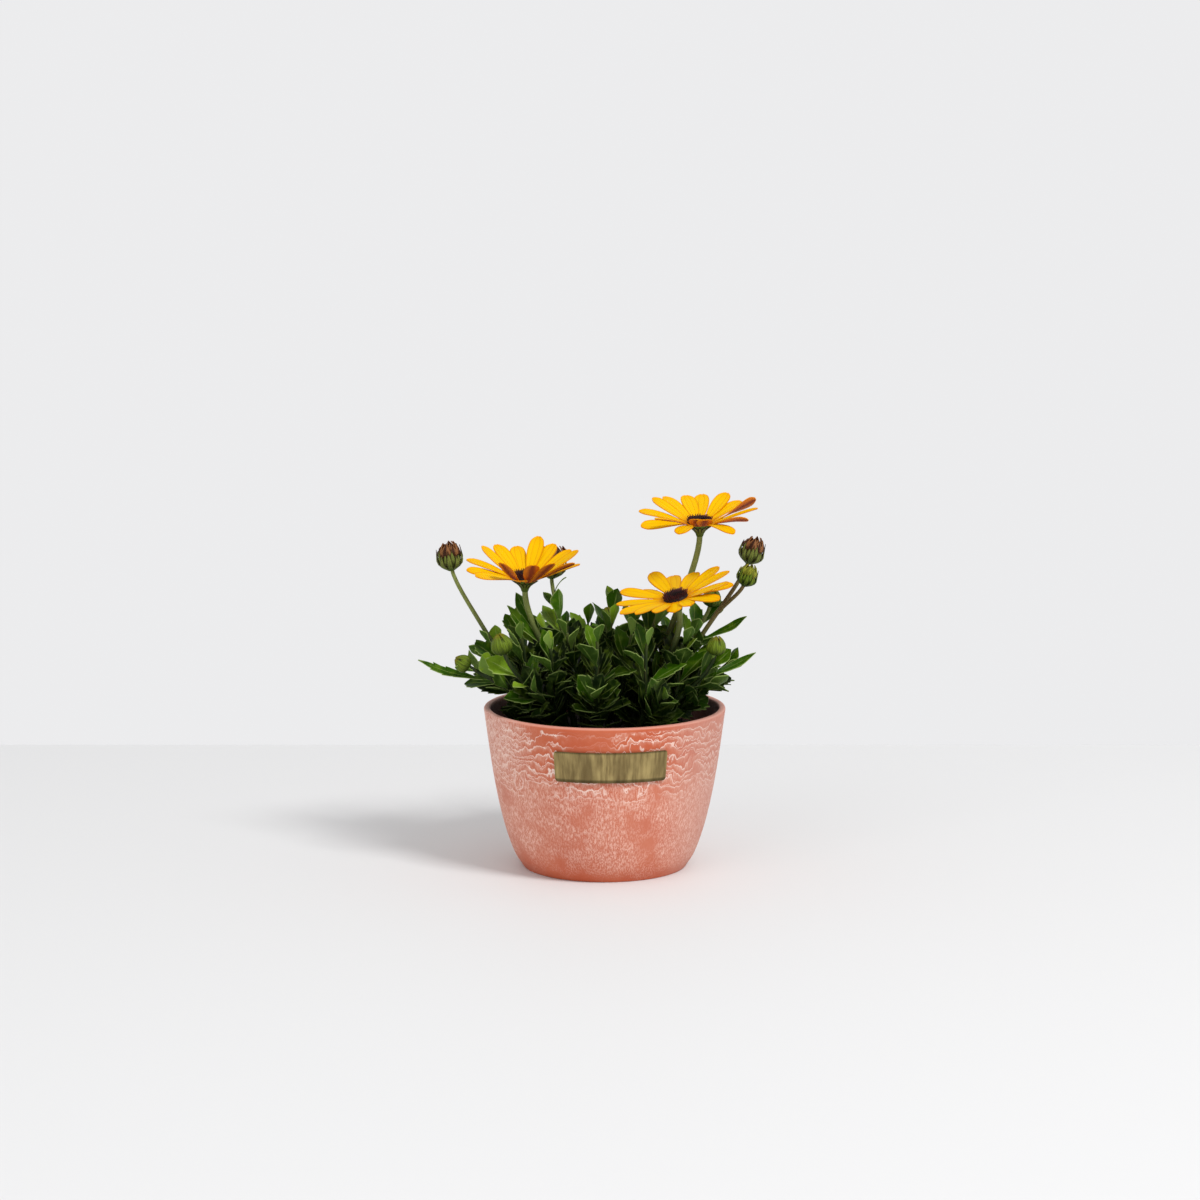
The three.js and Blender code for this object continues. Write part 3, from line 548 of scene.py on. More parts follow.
def pot_material():
    shader = Shader("pot", 0.62)
    x, y, height = shader.split(shader.place())
    outside = (x * x + y * y) ** 0.5
    near = shader.noise(shader.place(), 0.35, 2)
    clay = shader.mix(near.rises(0.35, 0.65), rgb("bd5a38"), rgb("c26443"))
    fine = shader.noise(shader.place(), 26, 2)
    clay = shader.mix(fine.rises(0.5, 0.8) * 0.2, clay, rgb("d2826a"))
    # Pale wavy crests run round the pot, each with a soft pale fall below it.
    swirl = shader.noise(shader.place((1, 1, 1.2)), 0.5, 2)
    ripple = shader.noise(shader.place((1, 1, 0.5)), 2.2, 5)
    level = height * 2.1 + swirl * 4 + ripple * 2
    crest = shader.math("FRACT", level)
    second = shader.math("FRACT", level * 0.61 + ripple * 0.8 + near * 3)
    cover = shader.noise(shader.place((1, 1, 1.4)), 0.5, 3)
    flecks = shader.noise(shader.place((1, 1, 0.28)), 13, 3)
    grains = shader.noise(shader.place((1, 1, 0.5)), 26, 3)
    front = y.rises(0, -3)
    clear = abs(x + 0.9).rises(2.4, 0.9) * height.rises(8.2, 8.7) * front
    band = (height + (swirl - 0.5) * 3).rises(4.9, 6.4) * height.rises(9.8, 9.6) * (1 - clear * 0.9)
    dense = cover.rises(0.34, 0.52)
    lines = crest.rises(0.8, 0.96) * dense + second.rises(0.86, 0.98) * cover.rises(0.68, 0.5)
    fall = crest.rises(0.25, 0.95) * dense * (0.45 + flecks.rises(0.4, 0.62) * 0.55)
    # Below, a pale bloom in short upright flecks.
    haze = shader.noise(shader.place(), 0.55, 2)
    low = (height + (swirl - 0.5) * 3).rises(8, 5) * (height + haze * 2).rises(0.8, 3)
    fleck = flecks.rises(0.46, 0.6) * 0.7 + grains.rises(0.47, 0.62) * 0.4
    sides = abs(x).rises(3, 6.2)
    bloom = low * (0.15 + fleck * haze.rises(0.25, 0.55) * 0.85) + sides * (0.1 + fleck * 0.2)
    flakes = x.rises(-4, -6.8) * (flecks.rises(0.42, 0.56) * 0.5 + grains.rises(0.45, 0.6) * 0.4)
    color = shader.mix(bloom, clay, rgb("e4b3a2"))
    color = shader.mix(fall * band * (0.65 + sides * 0.2), color, rgb("e2b09c"))
    color = shader.mix(lines * band * 0.85, color, rgb("f2d6ca"))
    color = shader.mix(flakes * height.rises(5.5, 7.5), color, rgb("eccabc"))
    # The rim's top is painted paler: a painted highlight along the rim.
    color = shader.mix(height.rises(9.86, 9.97) * 0.5, color, rgb("dca898"))
    # The right side is painted greyer and duller: painted shade towards the pot's right edge, over a greyish
    # veil.
    color = shader.mix(x.rises(2.5, 6.5) * 0.4, color, rgb("b08a80"))
    # The inside, above the soil, is behind the middle of the wall; it is painted dark brown, as painted
    # shade inside the pot.
    inner = (outside - height * 0.18 - 5.31).rises(0.32, 0.12)
    inner = inner * height.rises(6.5, 7.5) * height.rises(10.05, 9.7)
    color = shader.mix(inner * 0.85, color, rgb("5a2c20"))
    shader.set("Base Color", color)
    shader.set("Specular IOR Level", 0.3)
    shader.bump(fine * 0.5 + lines * band * 0.3 + flecks * 0.3, 0.12)
    return shader.material


def plate_material():
    shader = Shader("plate", 0.42)
    _, _, height = shader.split(shader.place())
    brushed = shader.noise(shader.place((1, 1, 0.06)), 4, 5)
    dirt = shader.noise(shader.place((1, 1, 0.5)), 0.9, 3)
    color = shader.mix(brushed.rises(0.3, 0.72), rgb("7c6a42"), rgb("b4a06a"))
    color = shader.mix(dirt.rises(0.42, 0.68) * 0.5, color, rgb("655433"))
    edge = height.rises(8.36, 8.5) + height.rises(6.88, 6.74)
    color = shader.mix(edge * 0.7, color, rgb("33290f"))
    shader.set("Base Color", color)
    shader.set("Metallic", 0.75)
    shader.set("Roughness", 0.4 + dirt * 0.2)
    shader.bump(brushed, 0.03)
    return shader.material


def soil_material():
    shader = Shader("soil", 0.95)
    crumbs = shader.noise(shader.place(), 6, 5)
    color = shader.mix(crumbs.rises(0.4, 0.65), rgb("17100b"), rgb("3a281a"))
    shader.set("Base Color", color)
    shader.bump(crumbs, 1.2)
    return shader.material


MATERIALS = {
    "leaf_upper": leaf_material("leaf_upper", "081402", "345c06", "90b02c", "7cae0c", 0.3, 0.6),
    "leaf_under": leaf_material("leaf_under", "12220a", "42601e", "7c9844", "80a81c", 0.5, 0.5),
    "stalk": stalk_material("stalk", "1c2c0a", "7a8444", "54482a"),
    "red_stalk": stalk_material("red_stalk", "4e5226", "6c5c34", "6a4428"),
    "bract": bract_material("bract", "4e6020", "707a34", "2c2012", "3a1c12"),
    "pale_bract": bract_material("pale_bract", "28390c", "667a1c", "182008", "746f1c"),
    "ray_upper": ray_upper_material(),
    "ray_under": ray_under_material("ray_under", "8a3f22", "d8791c"),
    "furled": ray_under_material("furled", "381c0c", "94643a"),
    "pale_furled": ray_under_material("pale_furled", "6c701c", "989c2c"),
    "disc": disc_material(),
    "pot": pot_material(),
    "plate": plate_material(),
    "soil": soil_material(),
}


# Meshes


class Build:
    """A mesh in the making, with each blade's own coordinates and tone."""

    def __init__(self):
        self.mesh = bmesh.new()
        self.blade_map = self.mesh.loops.layers.uv.new("blade")
        self.tone = self.mesh.verts.layers.float.new("tone")
        self.materials = []

    def material(self, name):
        if name not in self.materials:
            self.materials.append(name)
        return self.materials.index(name)

    def paint(self, faces, material, smooth=True):
        for face in faces:
            face.material_index = self.material(material)
            face.smooth = smooth

    def sheet(self, columns, rows, place, thick, upper, under, tone=0.5):
        """A thin blade: a grid whose points place(across, row) puts, made thick downwards."""
        made = bmesh.ops.create_grid(self.mesh, x_segments=columns, y_segments=rows, size=1)["verts"]
        spots = {}
        for vert in made:
            spots[vert] = (vert.co.x, round((vert.co.y + 1) / 2 * rows))
            vert[self.tone] = tone
        faces = list({face for vert in made for face in vert.link_faces})
        for face in faces:
            for loop in face.loops:
                across, row = spots[loop.vert]
                loop[self.blade_map].uv = ((across + 1) / 2, row / rows)
        for vert, (across, row) in spots.items():
            vert.co = place(across, row)
        self.paint(faces, upper)
        shell = bmesh.ops.solidify(self.mesh, geom=faces, thickness=thick)["geom"]
        self.paint([piece for piece in shell if isinstance(piece, bmesh.types.BMFace)], under)

    def leaf(self, blade, shape, tone):
        outline = shape.outline
        phase = 20 * tone

        def place(across, row):
            s, share, ahead = outline[row]
            s = min(s + ahead * across * across, 1)
            point, side, lift = station(blade, shape, s)
            reach = across * share * shape.width / 2
            wave = LEAF_WAVE * shape.length * across * across * math.sin(11 * s + phase)
            return point + side * reach + lift * (shape.fold * abs(reach) + wave)

        self.sheet(4, len(outline) - 1, place, LEAF_THICK, "leaf_upper", "leaf_under", tone)

    def tube(self, form, sides, steps, material):
        """A stem's round skin along its curve, drawn in to a point at its end."""
        made = bmesh.ops.create_grid(self.mesh, x_segments=sides, y_segments=steps + 1, size=1)["verts"]
        for vert in made:
            row = round((vert.co.y + 1) / 2 * (steps + 1))
            t = min(row, steps) / steps
            side, up = stem_frame(form.curve.tangent(t))
            radius = between(*form.radii, t) if row <= steps else 0.05
            angle = math.pi * vert.co.x
            vert.co = form.curve.point(t) + (side * math.cos(angle) - up * math.sin(angle)) * radius
        faces = {face for vert in made for face in vert.link_faces}
        self.paint(faces, material)
        bmesh.ops.remove_doubles(self.mesh, verts=made, dist=1e-4)

    def turned(self, profile, segments, material, place=Matrix()):
        """A solid turned about +Z from a profile of (radius, height)."""
        old_verts, old_faces = set(self.mesh.verts), set(self.mesh.faces)
        line = [self.mesh.verts.new((radius, 0, height)) for radius, height in profile]
        line += [self.mesh.edges.new(pair) for pair in zip(line, line[1:])]
        bmesh.ops.spin(
            self.mesh, geom=line, axis=UP, cent=(0, 0, 0), steps=segments, angle=2 * math.pi, use_merge=True,
        )
        points = [vert for vert in self.mesh.verts if vert not in old_verts]
        bmesh.ops.remove_doubles(self.mesh, verts=points, dist=1e-4)
        made = [face for face in self.mesh.faces if face not in old_faces]
        bmesh.ops.recalc_face_normals(self.mesh, faces=made)
        points = list({vert for face in made for vert in face.verts})
        bmesh.ops.transform(self.mesh, matrix=place, verts=points)
        self.paint(made, material)
        return points

    def whorl(self, count, profile, widths, place, material, bulge, start=0, lean=0, uneven=0):
        """Pointed blades side by side round an axis, on a profile of (radius, height)."""
        rows = len(profile) - 1
        for k in range(count):
            middle = math.radians(start) + 2 * math.pi * (k + 0.5) / count
            short = 1 - uneven * ((k * GOLDEN_SHARE) % 1)

            def put(across, row):
                radius, height = profile[row]
                angle = middle + across * widths[row] * math.pi / count + lean * row / rows
                reach = radius + bulge * (1 - across * across)
                rise = profile[0][1] + (height - profile[0][1]) * short
                return place @ Vector((reach * math.cos(angle), reach * math.sin(angle), rise))

            self.sheet(4, rows, put, BRACT_THICK, material, material, (k * 0.37) % 1)

    def finish(self, name, *stands_for, slot):
        mesh = bpy.data.meshes.new(name)
        bmesh.ops.scale(self.mesh, vec=(MM, MM, MM), verts=self.mesh.verts)
        self.mesh.to_mesh(mesh)
        self.mesh.free()
        mesh.set_sharp_from_angle(angle=math.radians(SHARP_ANGLE))
        for material in self.materials:
            mesh.materials.append(MATERIALS[material])
        thing = bpy.data.objects.new(name, mesh)
        bpy.context.scene.collection.objects.link(thing)
        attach(thing, "root")
        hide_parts(*stands_for)


def standing(point, direction):
    """Turns what is built about +Z to stand at a point along a direction."""
    return Matrix.Translation(point) @ UP.rotation_difference(direction).to_matrix().to_4x4()


# Flowers: place of the disc, facing, the rays' rise and turn, and the rays that differ.
FLOWERS = {
    "bloom_a": dict(
        at=(-49, -8, 181.6), facing=(0.02, -0.13, 1), rise=29, turn=-10, seed=11,
        root=(-17, -6), shoot=(0.36, 0.66, 5, 28, 101),
        odd={4: (34, -0.1, 1.06, 0), 9: (16, 0.1, 1, 0.3), 10: (15, 0.1, 0.94, 0.3),
             11: (37, -0.2, 0.78, 0.1), 12: (18, 0, 0.3, 0), 13: (40, -0.3, 0.66, 0),
             14: (36, -0.1, 0.9, 0), 15: (30, 0, 1.04, 0.35)},
    ),
    "bloom_b": dict(
        at=(58.6, 5, 214), facing=(-0.02, -0.1, 1), rise=25, turn=-7, seed=23,
        root=(24, 10), shoot=(0.2, 0.44, 5, 28, 102),
        odd={1: (22, -0.1, 1.06, 1.1), 8: (20, 0.2, 1.04, 0.2), 9: (4, 0.1, 1, 0.5),
             11: (8, 0.5, 0.58, 0), 12: (32, -0.6, 0.26, 0), 13: (28, -0.6, 0.26, 0),
             14: (10, 0.5, 0.8, 0), 15: (16, 0.1, 0.92, 0.6)},
    ),
    "bloom_c": dict(
        at=(43.4, -25, 171.8), facing=(-0.25, -0.2, 1), rise=10, turn=-3, seed=37,
        root=(18, -17), shoot=(0.24, 0.5, 5, 27, 103),
        odd={3: (8, 0.1, 0.88, 0), 9: (8, 0.1, 0.98, 0.1), 10: (14, 0.2, 0.86, 0), 11: (14, 0.2, 0.7, 0),
             12: (6, 0.3, 0.48, 0), 13: (10, 0.3, 0.46, 0)},
    ),
}


def ray_frames(flower):
    draw = seeded(flower["seed"])
    for k in range(RAY_COUNT):
        draws = [draw() for _ in range(5)]
        rise, bend, share, twist = flower["odd"].get(k) or (
            flower["rise"] + 8 * (draws[0] - 0.5) + (2 if k % 2 else -2),
            0.1 + 0.3 * (draws[1] - 0.5),
            0.94 + 0.12 * draws[2],
            0.3 * (draws[4] - 0.5),
        )
        angle = math.radians(flower["turn"] + k * 360 / RAY_COUNT + 7 * (draws[3] - 0.5))
        outward = Vector((math.cos(angle), math.sin(angle), 0))
        tilt = math.radians(rise)
        along = outward * math.cos(tilt) + UP * math.sin(tilt)
        normal = UP * math.cos(tilt) - outward * math.sin(tilt)
        shape = Shape(RAY_OUTLINE, RAY_LENGTH * share, RAY_WIDTH, bend, twist, 0.1)
        yield Frame(outward * RAY_ROOT, along, normal), shape, draws[2]


def build_rays(name, flower, place):
    build = Build()
    for blade, shape, tone in ray_frames(flower):
        def put(across, row):
            s, share = RAY_OUTLINE[row]
            notch = 0.014 * abs(math.sin(1.5 * math.pi * across)) if s > 0.93 else 0
            point, side, lift = station(blade, shape, s - notch)
            reach = across * share * shape.width / 2
            groove = 0.22 * math.exp(-(((abs(across) - 0.36) / 0.16) ** 2)) * min(s * 6, 1)
            rise = shape.fold * abs(reach) - groove + 0.15
            return place @ (point + side * reach + lift * rise)

        build.sheet(10, len(RAY_OUTLINE) - 1, put, RAY_THICK, "ray_upper", "ray_under", tone)
    build.finish(name + "_rays_look", name + "_rays", slot="ray_petals")


def build_disc(name, place):
    """A dome of florets in spirals: closed ones in the middle and open, spiky ones round the edge."""
    build = Build()
    dome = [(0, -0.9), (6.6, -0.9), (7.7, 0.1), (7.2, 1.4), (6, 2.2), (4, 2.8), (2, DISC_TOP), (0, DISC_TOP)]
    build.turned(dome, 24, "disc", place)
    for k in range(FLORETS):
        share = (k + 0.5) / FLORETS
        angle = k * math.radians(GOLDEN_TURN)
        reach = FLORETS_REACH * math.sqrt(share)
        height = DISC_TOP - 1.8 * share * share
        is_open = share > 0.45
        lean = Vector((math.cos(angle), math.sin(angle), 0)) * (0.1 + 0.4 * share)
        spot = Vector((reach * math.cos(angle), reach * math.sin(angle), height))
        stand = place @ standing(spot, (UP + lean).normalized())
        spike = (3.4 if k % 3 else 5.2) * (0.6 + 0.4 * share) if is_open else 1.8
        made = bmesh.ops.create_cone(
            build.mesh, cap_ends=True, segments=5, radius1=0.48, radius2=0.2 if is_open else 0.36,
            depth=spike, matrix=stand,
        )["verts"]
        for vert in made:
            vert[build.tone] = (0.5 if is_open else 0.15) + 0.5 * ((k * GOLDEN_SHARE) % 1)
        build.paint({face for vert in made for face in vert.link_faces}, "disc", smooth=False)
    build.finish(name + "_disc_look", name + "_disc", slot="flower_disc")


def flower_cup(build, place):
    core = [(0, -8), (1.9, -8), (2.4, -6), (4, -4.1), (6, -2.6), (7.6, -1.6), (7.6, -0.6), (0, -0.6)]
    build.turned(core, 24, "bract", place)
    side = [(1.9, -8.3), (2.5, -6.4), (3.7, -4.7), (5.2, -3.4), (6.9, -2.2), (8.2, -1.3)]
    build.whorl(14, side, [1, 1, 0.95, 0.85, 0.6, 0.08], place, "bract", 0.2)


OPEN_CUP = [(0, 0), (3.6, 0.9), (5.6, 3), (6.2, 5.4), (5.6, 7.6), (0, 7.6)]
OPEN_BRACT = [(1.3, -1.2), (2.8, -0.2), (5.2, 1.5), (7, 3.8), (7.6, 6), (7.4, 8.2), (7.1, 10.4), (6.8, 12.4)]
INNER_BRACT = [(2.6, 0.8), (5, 2.2), (6.4, 4.4), (6.9, 6.6), (6.7, 9), (6.3, 11.4), (5.8, 13.4)]
CLOSED_CUP = [(0, 0), (4.2, 1), (6.2, 3.4), (6.4, 6), (5.3, 9), (3, 11.2), (0, 12.2)]
CLOSED_BRACT = [
    (1.5, -0.6), (4.4, 0.7), (6.6, 3), (7.1, 5.5), (6.5, 8.2), (5, 10.6), (2.9, 12.7), (0.8, 14.2),
]
PETAL_RINGS = [
    (8, [(5.4, 0.2), (6.2, 1.8), (6.1, 3.6), (5.5, 5.4), (4.8, 6.8), (4.3, 7.9), (3.9, 8.7)], 0),
    (6, [(3.8, 0.4), (4.4, 2.4), (4.3, 4.6), (3.7, 6.4), (3, 7.8), (2.5, 8.8), (2.1, 9.4)], 26),
    (4, [(2.2, 0.4), (2.4, 2), (2.2, 4.4), (1.7, 6.2), (1.1, 7.5), (0.7, 8.5), (0.4, 9)], 10),
]
PETAL_WIDTHS = [1.2, 1.25, 1.15, 0.9, 0.62, 0.34, 0.05]


def scaled(profile, size):
    return [(radius * size, height * size) for radius, height in profile]


def bud_cup(build, place, size, closed, material):
    """A cup of narrow bracts side by side; on an opening bud they stand up round the petals."""
    build.turned(scaled(CLOSED_CUP if closed else OPEN_CUP, size), 20, material, place)
    if closed:
        widths = [1, 1, 1, 1, 0.95, 0.85, 0.6, 0.1]
        build.whorl(8, scaled(CLOSED_BRACT, size), widths, place, material, 0.8 * size, uneven=0.2)
        build.whorl(8, scaled(CLOSED_BRACT, size * 0.97), widths, place, material, 0.6 * size, 22)
    else:
        widths = [1, 1, 0.95, 0.85, 0.66, 0.42, 0.2, 0.04]
        build.whorl(10, scaled(OPEN_BRACT, size), widths, place, material, 0.3 * size, uneven=0.34)
        widths = [1, 1, 0.9, 0.72, 0.46, 0.22, 0.04]
        build.whorl(10, scaled(INNER_BRACT, size), widths, place, material, 0.25 * size, 18, uneven=0.4)


def build_tips(name, place, size, material, flare=1):
    """Furled petals that overlap round the bud's middle, wider at the top where they begin to open."""
    build = Build()
    for count, petal, start in PETAL_RINGS:
        top = petal[-1][1]
        side = [
            (radius * size * between(1, flare, height / top), (TIPS_START + height * TIPS_STRETCH) * size)
            for radius, height in petal
        ]
        build.whorl(count, side, PETAL_WIDTHS, place, material, 0.5 * size, start, lean=0.3, uneven=0.3)
    slot = "furled_petals_pale" if material == "pale_furled" else "furled_petals_dark"
    build.finish(name + "_tips_look", name + "_tips", slot=slot)


class Stem:
    """One stem with what grows on it, under construction."""

    def __init__(self, node):
        self.node = node
        self.build = Build()
        self.corners = corner_tree(node)
        self.leaves = 0
        self.form = None

    def stalk(self, form, material="stalk", steps=14):
        self.build.tube(form, 10, steps, material)
        self.form = self.form or form

    def grow(self, shoot, filling):
        for blade, shape, share in grown_leaves(shoot, self.corners):
            self.leaves += 1
            chance = (self.leaves * GOLDEN_SHARE + shoot.seed * 0.37) % 1
            self.build.leaf(blade, shape, 0.15 + 0.4 * share + 0.45 * chance**1.5)
        # Filling leaves take the lowest tones, a dark green: painted shade inside the mound.
        for blade, shape, draw in filling_leaves(shoot, filling):
            self.build.leaf(blade, shape, 0.25 * draw)

    def finish(self):
        self.build.finish(self.node + "_look", self.node, slot="leaves")


stems = {}


def new_stem(node):
    stems[node] = Stem(node)
    return stems[node]


for name, flower in FLOWERS.items():
    facing = Vector(flower["facing"]).normalized()
    head = Vector(flower["at"])
    root = Vector((*flower["root"], ROOT_HEIGHT))
    curve = Curve(root, UP, head + facing * (0.5 - CUP_DEPTH), facing, 26)
    form = Stalk(curve, *FLOWER_STALK)
    place = standing(head, facing)
    stem = new_stem(name + "_stem")
    stem.stalk(form, steps=18)
    flower_cup(stem.build, place)
    stem.grow(Shoot(form, *flower["shoot"]), FEW_FILLING)
    build_rays(name, flower, place)
    build_disc(name, place)

# Buds: foot and facing of the cup, its radius, the stem's root, and its leaves.
BUDS = [
    ("bud_d", (-33.4, 35, 176.5), (0.03, 0, 1), 8.6, "furled", (-12, 14), (0.42, 0.62, 6, 24)),
    ("bud_e", (-94.6, 0, 186.4), (-0.16, 0, 1), 7.6, "furled", (-46, -3), (0.25, 0.5, 6, 26)),
    ("bud_h", (66, 20, 160), (0.2, 0, 1), 5.6, None, (20, 19), (0.42, 0.93, 6, 25)),
    ("bud_i", (-61, -45, 141), (-0.3, 0, 1), 6.2, None, (-27, -17), (0.42, 0.93, 6, 26)),
    ("bud_j", (-83, -25, 129), (-0.9, 0, 0.55), 5, None, (-31, -14), (0.42, 0.93, 6, 25)),
    ("bud_k", (67.5, -30, 138), (0.1, -0.1, 1), 5.6, None, (26.5, -18.5), (0.42, 0.93, 6, 26)),
    ("bud_l", (1.5, 15, 153), (0, -0.2, 1), 3.6, None, (2, 8), (0.42, 0.93, 6, 25)),
]
for order, (name, at, facing, radius, tips, root, shoot) in enumerate(BUDS):
    facing = Vector(facing).normalized()
    foot = Vector(at)
    curve = Curve(Vector((*root, ROOT_HEIGHT)), UP, foot + facing * 0.8, facing, 20)
    form = Stalk(curve, *BUD_STALK)
    place = standing(foot, facing)
    stem = new_stem(name + "_stem")
    stem.stalk(form)
    bud_cup(stem.build, place, radius / BUD_RADIUS, not tips, "bract" if tips else "pale_bract")
    stem.grow(Shoot(form, *shoot, 201 + order), FEW_FILLING)
    if tips:
        build_tips(name, place, radius / BUD_RADIUS, tips, flare=1.7 if name == "bud_d" else 1)

# The forked stalk with two buds.
stem = new_stem("buds_f_g_stem")
main = None
for name, at, facing, radius, tips in [
    ("bud_f", (89.2, 8, 189.4), (0.3, 0, 1), 7.4, "furled"),
    ("bud_g", (86, -4, 177), (0.35, 0, 1), 6, "pale_furled"),
]:
    facing = Vector(facing).normalized()
    foot = Vector(at)
    end = foot + facing * 0.8
    if main:
        curve = Curve(stem_middle(main, FORK_SHARE), main.curve.tangent(FORK_SHARE), end, facing, 8)
        form = Stalk(curve, *FORK_STALK)
    else:
        curve = Curve(Vector((33, 8, ROOT_HEIGHT)), UP, end, facing, 24)
        form = main = Stalk(curve, *FORKED_STALK)
    place = standing(foot, facing)
    stem.stalk(form, "red_stalk")
    bud_cup(stem.build, place, radius / BUD_RADIUS, False, "bract" if tips == "furled" else "pale_bract")
    build_tips(name, place, radius / BUD_RADIUS, tips)
stem.grow(Shoot(main, 0.22, 0.48, 7, 27, 221), FEW_FILLING)

# Leafy stems in rings round the middle. A stem of an outer ring forks.
Ring = namedtuple("Ring", "count reach turn height drop lean first leaves size inner")
RINGS = [
    Ring(1, (4, 2), 0, 151, 0, 0.05, 0.4, 7, 27, False),
    Ring(5, (34, 28), 15, 157, -6, 0.3, 0.4, 6, 28, False),
    Ring(11, (76, 58), 5, 128, -12, 1.1, 0.5, 6, 28, True),
]
number = 0
for ring in RINGS:
    for k in range(ring.count):
        number += 1
        draw = seeded(400 + number)
        angle = math.radians(ring.turn + (k + 0.5 * (draw() - 0.5)) * 360 / ring.count)
        x, y = ring.reach[0] * math.cos(angle), ring.reach[1] * math.sin(angle)
        front = max(0, -math.sin(angle))
        height = ring.height + ring.drop * front + 8 * (draw() - 0.5)
        outward = Vector((math.cos(angle), math.sin(angle), 0))
        facing = (UP + outward * ring.lean).normalized()
        root = Vector((RING_ROOT * x, RING_ROOT * y, ROOT_HEIGHT))
        end = Vector((x, y * (1 - 0.1 * front), height))
        form = Stalk(Curve(root, UP, end, facing, 22), *LEAFY_STALK)
        stem = new_stem(f"leafy_stem_{number:02d}")
        stem.stalk(form)
        shoot = Shoot(form, ring.first - 0.1 * front, 0.99, ring.leaves, ring.size, 500 + number)
        stem.grow(shoot, STEM_FILLING)
        if ring.inner:
            rise = form.curve.tangent(RING_FORK)
            top = Vector((BRANCH_TOP[0] * x, BRANCH_TOP[1] * y, BRANCH_TOP[2] + 8 * (draw() - 0.5)))
            upwards = (UP + outward * 0.35).normalized()
            branch = Stalk(Curve(stem_middle(form, RING_FORK), rise, top, upwards, 14), *BRANCH_STALK)
            stem.stalk(branch)
            stem.grow(Shoot(branch, 0.34, 0.99, 5, 28, 600 + number), BRANCH_FILLING)

# Leaves that stand out of the mound by themselves: stem, share along it, tip, width, bend, roll, outline.
SINGLE_LEAVES = [
    ("bud_j_stem", 0.78, (-115, -12, 131), 6.5, -0.7, -40, "toothed"),
    ("bud_k_stem", 0.7, (93, -14, 136), 5, -0.5, 45, "young"),
    ("buds_f_g_stem", 0.5, (88, 2, 156), 6, -0.6, 45, "young"),
    ("bloom_a_stem", 0.62, (-60, -12, 165), 9.5, -0.4, -50, "shouldered"),
    ("bloom_a_stem", 0.68, (-55, 2, 171), 8, -0.3, -60, "young"),
    ("bud_d_stem", 0.8, (-24, 33, 176), 2.6, 1.2, 0, "young"),
]
for node, t, tip, width, bend, roll, kind in SINGLE_LEAVES:
    stem = stems[node]
    root = stem_middle(stem.form, t)
    chord = Vector(tip) - root
    span = chord.length
    chord.normalize()
    rise = (UP - chord * UP.dot(chord)).normalized()
    rise.rotate(Matrix.Rotation(math.radians(roll), 3, chord))
    along = chord * math.cos(bend / 2) + rise * math.sin(bend / 2)
    normal = rise * math.cos(bend / 2) - chord * math.sin(bend / 2)
    length = span * (bend / 2) / math.sin(bend / 2)
    shape = Shape(OUTLINES[kind], length, width, bend, 0, 0.25)
    stem.build.leaf(Frame(root, along, normal), shape, SINGLE_TONE)
for stem in stems.values():
    stem.finish()


# The planter


def pot_radius(height):
    """The outside radius, on a smooth curve through the solid's own points."""
    k = 1
    while k < len(POT_SIDE) - 1 and POT_SIDE[k][0] < height:
        k += 1

    def slope(n):
        low, high = POT_SIDE[max(n - 1, 0)], POT_SIDE[min(n + 1, len(POT_SIDE) - 1)]
        return (high[1] - low[1]) / (high[0] - low[0])

    (low, low_radius), (high, high_radius) = POT_SIDE[k - 1], POT_SIDE[k]
    step = high - low
    t = (height - low) / step
    rise, fall = slope(k - 1) * step, slope(k) * step
    return (
        low_radius * (2 * t**3 - 3 * t * t + 1) + rise * (t**3 - 2 * t * t + t)
        + high_radius * (3 * t * t - 2 * t**3) + fall * (t**3 - t * t)
    )


side = [(pot_radius(height), height) for height in [0.8, 1.6, 2.6, 4, 6, 8, 10.5, *range(13, 98, 3), 98.6]]
outer_rim = [(74.92, 99.2), (74.65, 99.7), (74.1, POT_HEIGHT)]
inner_rim = [(71.8, POT_HEIGHT), (71.25, 99.7), (70.98, 99.2), (70.9, 98.6)]
inside = [(57.1, 22), (53, 12), (47, 7.2), (42, POT_FLOOR), (0, POT_FLOOR)]
build = Build()
build.turned([(0, 0), (50.4, 0), (51.1, 0.25), *side, *outer_rim, *inner_rim, *inside], 144, "pot")
build.finish("pot_look", "pot", slot="pot")

build = Build()


def plate_place(across, row):
    share = math.copysign(math.sin(abs(across) * math.pi / 2) ** 0.8, across)
    half = PLATE_WIDTH / 2
    inset = max(0, abs(share) * half - (half - PLATE_CORNER))
    cut = PLATE_CORNER - math.sqrt(max(0, PLATE_CORNER**2 - inset**2))
    most = PLATE_HEIGHT / 2 - cut
    reach = PLATE_HEIGHT * (row / 6 - 0.5)
    height = PLATE_LOW + PLATE_HEIGHT / 2 + max(-most, min(reach, most))
    radius = pot_radius(height) + GAP + PLATE_THICK
    angle = math.radians(PLATE_TURN - 90) + share * half / pot_radius(PLATE_LOW + PLATE_HEIGHT / 2)
    return Vector((radius * math.cos(angle), radius * math.sin(angle), height))


build.sheet(36, 6, plate_place, PLATE_THICK, "plate", "plate")
build.finish("name_plate_look", "name_plate", slot="plate")

